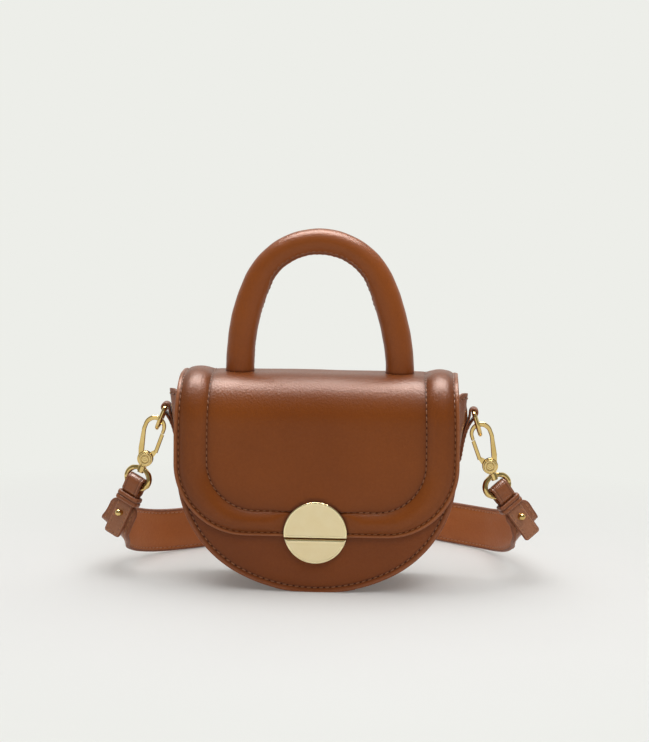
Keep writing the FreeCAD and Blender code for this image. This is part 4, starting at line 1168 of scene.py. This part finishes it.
def build_lining():
    """Suede-like lining inside: two faces and the band between them."""
    for key, sign, zt in (("front", -1, 116.5), ("back", 1, 122.5)):
        rows, shade = [], []
        for f in (1.0, 0.97, 0.92, 0.82, 0.68, 0.5, 0.3, 0.12, 0.0):
            x, z = outline(f, 3.2, zt)
            z = np.maximum(z, 3.4)
            y = sign * (31.9 - 0.25 * lumps(np.stack([x, 0 * x, z], 1), 26.0, 51))
            rows.append(np.stack([x, y + 0 * x, z], 1))
            shade.append(np.full(len(x), 0.5 if f == 1.0 else 0.0))
        rows = np.array(rows)
        nr, nc = rows.shape[:2]
        f2 = grid_faces(nr, nc)
        ob = make_piece(key + "_lining_skin", rows.reshape(-1, 3), f2 if sign < 0 else flip(f2), [LINING], "bag_body", None, {"shade": np.array(shade).ravel(), "wear_and_sheen": np.zeros(nr * nc)})
        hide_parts(key + "_lining", key + "_board")
        # top binding closing the panel, its board and the lining
        xs = np.linspace(-1, 1, 120)
        prof = [(36.05, -7.0), (36.25, -6.0), (36.3, -3.0), (36.15, -0.9), (35.5, 0.1), (34.0, 0.35), (32.5, 0.1), (31.4, -0.9), (31.1, -3.0), (31.15, -6.0), (31.6, -7.0)]
        if sign > 0:
            prof = [(33.8, -2.0), (33.9, -0.6), (33.6, 0.1), (32.8, 0.35), (32.1, 0.1), (31.3, -0.9), (31.05, -3.0), (31.1, -6.0), (31.6, -7.0)]
        b = []
        for yy, dz in prof:
            z = zt + 1.0 + dz
            hw = TOP_HALF_W - 0.9
            b.append(np.stack([xs * hw, np.full_like(xs, sign * yy), np.full_like(xs, z)], 1))
        b = np.array(b)
        nr, nc = b.shape[:2]
        f2 = grid_faces(nr, nc)
        sh = np.zeros((nr, nc))
        sh[0] = 0.5
        sh[-1] = 0.5
        ob = make_piece(key + "_top_binding", b.reshape(-1, 3), f2 if sign > 0 else flip(f2), [BODY], "bag_body", None, {"shade": sh.ravel(), "wear_and_sheen": np.zeros(nr * nc)})
    rows = gusset_rows(3.0, np.linspace(-32.0, 32.0, 24), 3.5)
    nr, nc = rows.shape[:2]
    ob = make_piece("gusset_lining_skin", rows.reshape(-1, 3), grid_faces(nr, nc), [LINING], "bag_body", None, {"shade": np.zeros(nr * nc), "wear_and_sheen": np.zeros(nr * nc)})
    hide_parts("gusset_lining", "gusset_board")


build_lining()


def build_pocket():
    """Slip pocket on the back lining, with a hemmed mouth that stands slightly open."""
    xs = np.linspace(-56, 56, 60)
    zs = np.linspace(38.0, 104.0, 50)
    rows, shade = [], []
    for z in zs:
        open_ = smooth01(70.0, 104.0, z) * (1 - (xs / 56.0) ** 4)
        hem = 0.55 * smooth01(94.5, 95.5, z)
        side = np.clip((56.0 - np.abs(xs)) / 3.0, 0, 1)
        low = min(1.0, (z - 38.0) / 3.0)
        y = 31.6 - (0.5 + 1.6 * open_ + hem) * np.sqrt(side) * math.sqrt(low) - 0.2 * lumps(np.stack([xs, 0 * xs, np.full_like(xs, z)], 1), 14.0, 61) * side * low
        rows.append(np.stack([xs, y, np.full_like(xs, z)], 1))
        shade.append(0.5 * (1 - side) + 0.4 * math.exp(-(((z - 95.0) / 0.6) ** 2)))
    # turned hem at the mouth
    last = rows[-1].copy()
    for dz, dy in ((0.5, 0.25), (0.6, 0.6), (0.3, 0.9), (-2.0, 1.0), (-9.0, 1.0)):
        r = last.copy()
        r[:, 2] += dz
        r[:, 1] = np.minimum(r[:, 1] + dy, 31.7)
        rows.append(r)
        shade.append(np.zeros_like(xs))
    rows = np.array(rows)
    nr, nc = rows.shape[:2]
    ob = make_piece("pocket_skin", rows.reshape(-1, 3), grid_faces(nr, nc), [LINING], "bag_body", None, {"shade": np.array(shade).ravel(), "wear_and_sheen": np.zeros(nr * nc)})
    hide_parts("inner_pocket")
    x = np.concatenate([np.full(40, -54.0), np.linspace(-54, 54, 60), np.full(40, 54.0)])
    z = np.concatenate([np.linspace(103.0, 40.0, 40), np.full(60, 40.0), np.linspace(40.0, 103.0, 40)])
    yy = np.array([31.6 - (0.5 + 1.6 * smooth01(70.0, 104.0, b) * (1 - (a / 56.0) ** 4)) * math.sqrt(min(1.0, (56 - abs(a)) / 3.0)) * math.sqrt(min(1.0, (b - 38) / 3.0)) for a, b in zip(x, z)])
    stitch_line("pocket_stitches", np.stack([x, yy - 0.15, z], 1), np.tile([0.0, -1.0, 0.0], (len(x), 1)), "bag_body", pitch=3.6, length=2.5, rad=0.26)


build_pocket()


# ---------------------------------------------------------------- handle
def build_handle():
    """Round padded handle: swept tube, closing seam on its underside, drawn in where it meets the flap."""
    y0 = 0.3
    line = []
    # left side arc about (89, 150) then the top arc about (0, zt)
    R1, R2 = 162.5, 46.5
    cx = 106.7
    zt = 195.5
    for a in np.linspace(math.pi, math.pi - (math.pi - math.atan2(zt - 150.0, cx - 2 * cx)), 60):
        line.append((cx + R1 * math.cos(a), 150.0 + R1 * math.sin(a)))
    p = np.array(line)
    start = math.atan2(p[-1, 1] - zt, p[-1, 0])
    top = [(R2 * math.cos(a), zt + R2 * math.sin(a)) for a in np.linspace(start, math.pi / 2, 50)[1:]]
    half = np.concatenate([[(-55.8, 147.6)], p, np.array(top)])
    other = half[::-1][1:].copy()
    other[:, 0] *= -1
    c = np.concatenate([half, other])
    # it leans a little to the left
    c[:, 0] = c[:, 0] * 1.008 - 1.1 * smooth01(150.0, 200.0, c[:, 1])
    L = arc_len(c)
    s = np.concatenate([[0.0, 0.15, 0.4, 0.8, 1.4, 2.2, 3.2], np.linspace(4.5, L[-1] - 4.5, 190), L[-1] - np.array([3.2, 2.2, 1.4, 0.8, 0.4, 0.15, 0.0])])
    q = at_len(c, L, s)
    t = np.gradient(at_len(c, L, np.linspace(0, L[-1], 800)), axis=0)
    t = at_len(t / np.linalg.norm(t, axis=1)[:, None], np.linspace(0, L[-1], 800), s)
    t /= np.linalg.norm(t, axis=1)[:, None]
    outw = np.stack([-t[:, 1], t[:, 0]], 1)  # away from the loop's middle
    cols = 72
    verts, shade, wear_and_sheen, radii = [], [], [], []
    end = np.minimum(s, L[-1] - s)
    seam = np.radians(212.0 - 64.0 * (1 - smooth01(188.0, 226.0, q[:, 1])))
    for i in range(len(s)):
        r = 9.95 - 0.85 * float(smooth01(195.0, 236.0, q[i, 1]))
        r -= 0.75 * (1 - math.sqrt(max(0.0, 1 - (1 - min(1.0, end[i] / 1.6)) ** 2)))
        r += 0.06 * math.sin(s[i] * 0.21) + 0.05 * math.sin(s[i] * 0.47 + 1.0)
        radii.append(r)
        for j in range(cols):
            a = 2 * math.pi * j / cols
            # a = 0 points out of the loop; the seam lies at a = pi, towards the back
            rr = r
            da = abs((a - seam[i] + math.pi) % (2 * math.pi) - math.pi)
            arc = da * r
            rr -= 0.42 * math.exp(-((arc / 0.55) ** 2))
            rr += 0.10 * math.exp(-(((arc - 2.4) / 1.4) ** 2))
            verts.append((q[i, 0] + outw[i, 0] * rr * math.cos(a), y0 + rr * math.sin(a), q[i, 1] + outw[i, 1] * rr * math.cos(a)))
            shade.append(0.85 * math.exp(-((arc / 0.5) ** 2)) + 0.95 * math.exp(-((max(0.0, end[i] - 2.6) / 0.8) ** 2)))
            wear_and_sheen.append(0.0)
    faces = grid_faces(len(s), cols, wrap=True)
    n = len(s) * cols
    faces.append(tuple(reversed(range(cols))))
    faces.append(tuple(range(n - cols, n)))
    ob = make_piece("handle_skin", verts, flip(faces), [HANDLE], "flap", None, {"shade": shade, "wear_and_sheen": wear_and_sheen})
    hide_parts("handle_cover")
    for nm, deg in (("a", -15.0), ("b", 15.0)):
        a = seam + math.radians(deg)
        keep = (end > 6.0)
        rs = np.array(radii) + 0.02
        P = np.stack([q[:, 0] + outw[:, 0] * rs * np.cos(a), y0 + rs * np.sin(a), q[:, 1] + outw[:, 1] * rs * np.cos(a)], 1)[keep]
        N = np.stack([outw[:, 0] * np.cos(a), np.sin(a), outw[:, 1] * np.cos(a)], 1)[keep]
        stitch_line("handle_stitches_" + nm, P, N, "flap", pitch=4.0, length=2.8, rad=0.28)
    return ob


build_handle()


# ---------------------------------------------------------------- ring tabs at the sides
def build_tab(side):
    """A strip folded round the ring's bar, both layers lying down the gusset to a rounded point."""
    key = "right" if side > 0 else "left"
    bx, bz, r = 108.5, 123.8, 2.75
    pts = [(98.4, 87.9), (99.2, 88.8), (99.6, 90.5), (100.2, 94.0), (101.1, 100.0), (102.1, 105.0), (103.4, 110.0), (105.3, 114.5), (107.6, 118.2), (109.5, 120.4)]
    for a in np.linspace(-38, 205, 40):
        pts.append((bx + r * math.cos(math.radians(a)), bz + r * math.sin(math.radians(a))))
    pts += [(105.4, 119.6), (104.3, 116.5), (103.0, 112.6), (101.6, 108.0), (100.6, 104.0), (99.6, 99.0), (98.75, 94.0), (98.3, 90.5)]
    pts = np.array(pts)
    # smooth the run of points
    L = arc_len(pts)
    even = at_len(pts, L, np.linspace(0, L[-1], 260))
    ker = np.exp(-0.5 * (np.arange(-9, 10) / 3.2) ** 2)
    ker /= ker.sum()
    sm = even.copy()
    for i in range(2):
        ext = np.concatenate([2 * even[0, i] - even[9:0:-1, i], even[:, i], 2 * even[-1, i] - even[-2:-11:-1, i]])
        sm[:, i] = np.convolve(ext, ker, mode="valid")
    L = arc_len(sm)
    s = L
    t = np.gradient(sm, axis=0)
    t /= np.linalg.norm(t, axis=1)[:, None]
    nrm = np.stack([t[:, 1], -t[:, 0]], 1)
    thick = 1.5
    hh = thick / 2
    end = np.minimum(s, L[-1] - s)
    half = 5.5 * np.sqrt(np.clip(1 - (1 - np.clip(end / 6.0, 0, 1)) ** 2, 0, 1))
    half = np.maximum(half, 0.15)
    sec = []
    face = [(0.8, 1.0), (1.3, 0.95), (1.7, 0.82), (2.1, 0.95), (3.0, 1.05)]
    edge = [(0.4, 0.88), (0.12, 0.6), (0.0, 0.2), (0.0, -0.2), (0.12, -0.6), (0.4, -0.88)]
    for i, k in face:
        sec.append((-1, i, hh * k, 0))
    sec.append((0, 0, hh * 1.08, 0))
    for i, k in reversed(face):
        sec.append((1, i, hh * k, 0))
    for i, k in edge:
        sec.append((1, i, hh * k, 2))
    for i, k in face:
        sec.append((1, i, -hh * k, 0))
    sec.append((0, 0, -hh, 0))
    for i, k in reversed(face):
        sec.append((-1, i, -hh * k, 0))
    for i, k in reversed(edge):
        sec.append((-1, i, hh * k, 2))
    cols = len(sec)
    verts, shade, wear_and_sheen = [], [], []
    for i in range(len(s)):
        for sd, ins, o, m in sec:
            y = sd * max(half[i] - ins, half[i] * 0.1)
            p = sm[i] + nrm[i] * o
            verts.append((p[0], y, p[1]))
            shade.append({1.7: 0.6}.get(ins, 0.0) if o > 0 else 0.0)
            wear_and_sheen.append({0.8: 0.3}.get(ins, 0.0))
    faces = grid_faces(len(s), cols, wrap=True)
    fm = []
    for i in range(len(s) - 1):
        for j in range(cols):
            a, b = sec[j][3], sec[(j + 1) % cols][3]
            fm.append(1 if 2 in (a, b) else 0)
    faces.append(tuple(range(cols)))
    faces.append(tuple(reversed(range((len(s) - 1) * cols, len(s) * cols))))
    fm += [1, 1]
    v = np.array(verts)
    if side < 0:
        v = mirror(v)
    else:
        faces = flip(faces)
    ob = make_piece("ring_tab_" + key, v, faces, [BODY, EDGE_STRAP], "bag_body", fm, {"shade": shade, "wear_and_sheen": wear_and_sheen})
    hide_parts("dring_tab_" + key)
    # stitches round the outer layer's border
    idx = np.arange(8, 100, 2)
    up, dn = [], []
    for i in idx:
        if sm[i, 1] > 115.0:
            break
        p = sm[i] + nrm[i] * (hh * 0.9)
        y = max(half[i] - 1.7, 0.0)
        up.append((p[0], y, p[1]))
        dn.append((p[0], -y, p[1]))
    row = np.array(up[::-1] + dn)
    nn = np.tile([1.0, 0.0, 0.2], (len(row), 1))
    if side < 0:
        row, nn = mirror(row), mirror(nn)
    stitch_line("ring_tab_stitches_" + key, row, nn, "bag_body", pitch=3.4, length=2.4, rad=0.27)
    return ob


for sgn in (1, -1):
    build_tab(sgn)


# ---------------------------------------------------------------- round lock
def segment(rad, cut, above, inset, n=96):
    """Outline of a disc cut by a level line, inset all round."""
    r = rad - inset
    c = cut + inset if above else cut - inset
    h = c - LOCK_Z
    a = math.asin(np.clip(h / r, -1, 1))
    if above:
        ang = np.linspace(a, math.pi - a, n)
    else:
        ang = np.linspace(math.pi - a, 2 * math.pi + a, n)
    x = r * np.cos(ang)
    z = LOCK_Z + r * np.sin(ang)
    k = 30
    xs = np.linspace(x[-1], x[0], k + 2)[1:-1]
    return np.concatenate([x, xs]), np.concatenate([z, np.full(k, c)])


def plate(name, node, rad, cut, above, y_back, y_front, body):
    steps = [(0.25, y_back), (0.0, y_back - 0.2), (0.0, y_front + 0.75), (0.10, y_front + 0.42), (0.34, y_front + 0.16), (0.62, y_front + 0.03), (0.9, y_front - 0.0), (1.2, y_front + 0.02), (1.5, y_front + 0.05), (2.4, y_front + 0.05)]
    rows = []
    for ins, y in steps:
        x, z = segment(rad, cut, above, ins)
        rows.append(np.stack([x, np.full_like(x, y), z], 1))
    rows = np.array(rows)
    nr, nc = rows.shape[:2]
    faces = grid_faces(nr, nc, wrap=True)
    fm = []
    for i in range(nr - 1):
        fm += [1 if 1 <= i <= 6 else 0] * nc
    faces.append(tuple(range((nr - 1) * nc, nr * nc)))
    faces.append(tuple(reversed(range(nc))))
    fm += [0, 0]
    ob = make_piece(name, rows.reshape(-1, 3), faces if above else faces, [SATIN, BRIGHT], body, fm)
    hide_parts(node)
    return ob


plate("lock_upper_face", "lock_upper_plate", 22.0, 39.8, True, -41.35, -43.6, "flap")
plate("lock_lower_face", "lock_lower_plate", 22.0, 38.6, False, -35.95, -40.4, "bag_body")


def lock_ledge():
    """Bright ledge along the lower plate's upper edge, with a fine step below it."""
    z_hi, z_lo = 38.45, 35.1
    prof = [(z_hi, -39.2), (z_hi + 0.02, -39.9), (z_hi - 0.25, -40.42), (z_hi - 0.9, -40.66), (z_hi - 1.6, -40.72), (z_lo + 0.5, -40.70), (z_lo + 0.15, -40.62), (z_lo, -40.45), (z_lo - 0.02, -40.2)]
    rows = []
    xs = np.linspace(-1, 1, 40)
    for z, y in prof:
        hw = math.sqrt(max(0.0, 22.0**2 - (z - LOCK_Z) ** 2)) - 0.62
        rows.append(np.stack([xs * hw, np.full_like(xs, y), np.full_like(xs, z)], 1))
    rows = np.array(rows)
    nr, nc = rows.shape[:2]
    faces = grid_faces(nr, nc)
    fm = []
    for i in range(nr - 1):
        fm += [1 if i <= 3 else 0] * (nc - 1)
    faces.append(tuple(i * nc for i in range(nr)))
    faces.append(tuple(reversed([i * nc + nc - 1 for i in range(nr)])))
    faces.append(tuple(reversed(range(nc))) + tuple((nr - 1) * nc + i for i in range(nc)))
    fm += [0, 0, 0]
    ob = make_piece("lock_lower_ledge", rows.reshape(-1, 3), flip(faces), [SATIN, BRIGHT], "bag_body", fm)


lock_ledge()


def lock_shadow_ring():
    """Painted contact shadow: a dark ring in the leather round the lower plate."""
    a0 = math.asin((LOCK_Z - 38.2) / 22.0)
    ang = np.linspace(math.pi + a0, 2 * math.pi - a0, 90)
    rows = []
    for r, y in ((20.0, -36.10), (21.8, -36.14), (22.35, -36.14), (22.7, -36.06), (23.0, -35.80)):
        rows.append(np.stack([r * np.cos(ang), np.full_like(ang, y), LOCK_Z + r * np.sin(ang)], 1))
    rows = np.array(rows)
    nr, nc = rows.shape[:2]
    # fully shaded: painted shadow round the plate
    ob = make_piece("lock_shadow_ring", rows.reshape(-1, 3), grid_faces(nr, nc), [SACK_SHADED], "bag_body", None, {"shade": np.full(nr * nc, 0.9), "wear_and_sheen": np.zeros(nr * nc)})


lock_shadow_ring()

# ---------------------------------------------------------------- turned rivet heads on the hooks
def build_rivet(side):
    """Low domed head inside a raised collar on the front of the hook's round boss."""
    key = "right" if side > 0 else "left"
    x0, z0 = ((120.8, 85.6), (-123.3, 86.1))[0 if side > 0 else 1]
    prof = [(4.55, -2.30), (4.52, -2.55), (4.4, -2.72), (4.2, -2.82), (3.95, -2.85), (2.95, -2.87), (2.8, -2.80), (2.7, -2.58), (2.5, -2.56), (2.38, -2.78), (2.25, -2.95), (2.05, -3.02), (1.25, -3.04), (1.12, -2.98), (1.05, -2.80), (0.85, -2.78), (0.75, -2.90), (0.6, -3.0), (0.4, -3.03), (0.05, -3.04)]
    n = 64
    verts, faces = [], []
    for r, y in prof:
        for k in range(n):
            a = 2 * math.pi * k / n
            verts.append((x0 + r * math.cos(a), y, z0 + r * math.sin(a)))
    faces = grid_faces(len(prof), n, wrap=True)
    faces.append(tuple(reversed(range(n))))
    faces.append(tuple(range((len(prof) - 1) * n, len(prof) * n)))
    ob = make_piece("hook_rivet_" + key, verts, faces, [HEAD], key + "_hook")


for sgn in (1, -1):
    build_rivet(sgn)

# ---------------------------------------------------------------- rounded bands of the swivel rings
def build_band(side):
    """The ring's oval band with its polished, rounded section."""
    key = "right" if side > 0 else "left"
    down = np.array([0.34202, 0.0, -0.93969])
    across = np.array([0.851651, 0.422618, 0.309976])
    dv, wv = (D_R, W_R) if side > 0 else (D_L, W_L)
    n, m = 96, 28
    verts = []
    gap = math.radians(27.0)
    for i in range(n + 1):
        a = math.pi + gap + (2 * math.pi - 2 * gap) * i / n
        c = RING_AT[side] + down * 7.7 * math.cos(a) + across * 9.2 * math.sin(a)
        g = unit(down * math.cos(a) / 7.7 + across * math.sin(a) / 9.2)
        # slimmer where it runs through the leather fold and into the swivel's socket
        h, w = float((c - RING_AT[side]) @ dv), abs(float((c - RING_AT[side]) @ wv))
        slim = float(smooth01(-1.0, 1.5, h)) * (1 - float(smooth01(7.9, 9.0, w)))
        turn = min(a - math.pi, 3 * math.pi - a)
        slim = max(slim, 1 - float(smooth01(gap, math.radians(48.0), turn)))
        wide, deep = 2.15 - 0.65 * slim, 2.02 - 0.45 * slim
        for j in range(m):
            b = 2 * math.pi * j / m
            p = c + g * math.cos(b) * (wide if math.cos(b) > 0 else min(wide, 1.68)) + N_R * deep * math.sin(b)
            verts.append(p if side > 0 else p * FLIPX)
    faces = []
    for i in range(n):
        k = i + 1
        for j in range(m):
            l = (j + 1) % m
            faces.append((i * m + j, k * m + j, k * m + l, i * m + l))
    faces.append(tuple(range(m)))
    faces.append(tuple(reversed(range(n * m, (n + 1) * m))))
    ob = make_piece("ring_band_" + key, verts, faces if side > 0 else flip(faces), [GOLD], key + "_ring")


for sgn in (1, -1):
    build_band(sgn)

# ---------------------------------------------------------------- hardware and hidden parts keep their built shape
LOOKS = {
    "polished_gold": GOLD,
    "satin_gold": SATIN,
    "magnet": MAGNET,
    "steel": STEEL,
    "core_rope": ROPE,
    "stiff_board": BOARD,
    "body_leather": BODY,
    "strap_leather": STRAP,
    "lining_cloth": LINING,
    "padding": ROPE,
}
slots = {p["node"]: p["material_slot"] for p in frame["record"]["subparts"]}
for name, ob in NODES.items():
    look = LOOKS[slots[name]]
    ob.data.materials.clear()
    ob.data.materials.append(look)
    ob.data.polygons.foreach_set("material_index", [0] * len(ob.data.polygons))


# ---------------------------------------------------------------- stage and light
def build_stage():
    """A pale floor that fades into the backdrop's tone away from the bag."""
    n = Nodes("floor_look")
    f = n.noise(3.0, 2.0)
    n.link(n.ramp(f, [(0.3, (0.785, 0.785, 0.785, 1)), (0.7, (0.805, 0.805, 0.805, 1))]), n.bsdf.inputs["Base Color"])
    n.set("Roughness", 0.9)
    n.set("Specular IOR Level", 0.1)
    glow = n.add("ShaderNodeEmission")
    glow.inputs["Color"].default_value = TONE
    glow.inputs["Strength"].default_value = 1.0
    dist = n.add("ShaderNodeVectorMath", operation="LENGTH")
    n.link(n.coord, dist.inputs[0])
    far = n.remap(dist.outputs["Value"], 0.22, 0.52, FLOOR_GLOW, 1.0)
    both = n.add("ShaderNodeMixShader")
    n.link(far, both.inputs[0])
    n.link(n.bsdf.outputs[0], both.inputs[1])
    n.link(glow.outputs[0], both.inputs[2])
    n.link(both.outputs[0], n.out.inputs[0])
    rows, cols = 40, 40
    v, faces = [], []
    for i in range(rows + 1):
        for j in range(cols + 1):
            v.append((-12.0 + 24.0 * j / cols, -6.0 + 24.0 * i / rows, 0.0))
    for i in range(rows):
        for j in range(cols):
            k = i * (cols + 1) + j
            faces.append((k, k + 1, k + cols + 2, k + cols + 1))
    me = bpy.data.meshes.new("floor")
    me.from_pydata(v, [], faces)
    me.materials.append(n.mat)
    me.update()
    ob = bpy.data.objects.new("floor", me)
    SCENE.collection.objects.link(ob)


TONE = srgb(237, 238, 233)
FLOOR_GLOW = 0.14
FRONT_ROOM = 0.26
build_stage()


def area(name, place, aim, size, power, colour=(1, 1, 1), size_y=None, diffuse=True, glossy=True):
    l = bpy.data.lights.new(name, "AREA")
    l.energy = power
    l.color = colour
    l.size = size
    if size_y:
        l.shape = "RECTANGLE"
        l.size_y = size_y
    ob = bpy.data.objects.new(name, l)
    ob.location = place
    ob.rotation_euler = (Vector(aim) - Vector(place)).to_track_quat("-Z", "Y").to_euler()
    SCENE.collection.objects.link(ob)
    ob.visible_diffuse = diffuse
    ob.visible_glossy = glossy
    return ob


SCENE.view_settings.view_transform = "Standard"
SCENE.view_settings.look = "None"
world = bpy.data.worlds.new("studio")
SCENE.world = world
world.use_nodes = True
wt = world.node_tree
bg = wt.nodes["Background"]
bg.inputs[0].default_value = TONE
# bright backdrop behind, a darker room in front
wc = wt.nodes.new("ShaderNodeTexCoord")
ws = wt.nodes.new("ShaderNodeSeparateXYZ")
wm = wt.nodes.new("ShaderNodeMapRange")
wm.interpolation_type = "SMOOTHSTEP"
wt.links.new(wc.outputs["Generated"], ws.inputs[0])
wt.links.new(ws.outputs["Y"], wm.inputs["Value"])
wm.inputs["From Min"].default_value = -0.25
wm.inputs["From Max"].default_value = 0.85
wm.inputs["To Min"].default_value = FRONT_ROOM
wm.inputs["To Max"].default_value = 1.0
wt.links.new(wm.outputs["Result"], bg.inputs[1])
area("key_top", (0.0, 0.02, 1.45), (0.0, 0.0, 0.1), 1.7, 13.4, (1.0, 0.985, 0.97), 1.1, True, False)
area("key_gloss", (0.0, 0.24, 1.45), (0.0, 0.0, 0.1), 1.3, 74.0, (1.0, 0.96, 0.92), 0.75, False, True)
area("front_fill", (0.35, -1.12, 1.35), (0.0, 0.0, 0.1), 1.2, 8.0, (1.0, 0.99, 0.98), 0.8, True, False)
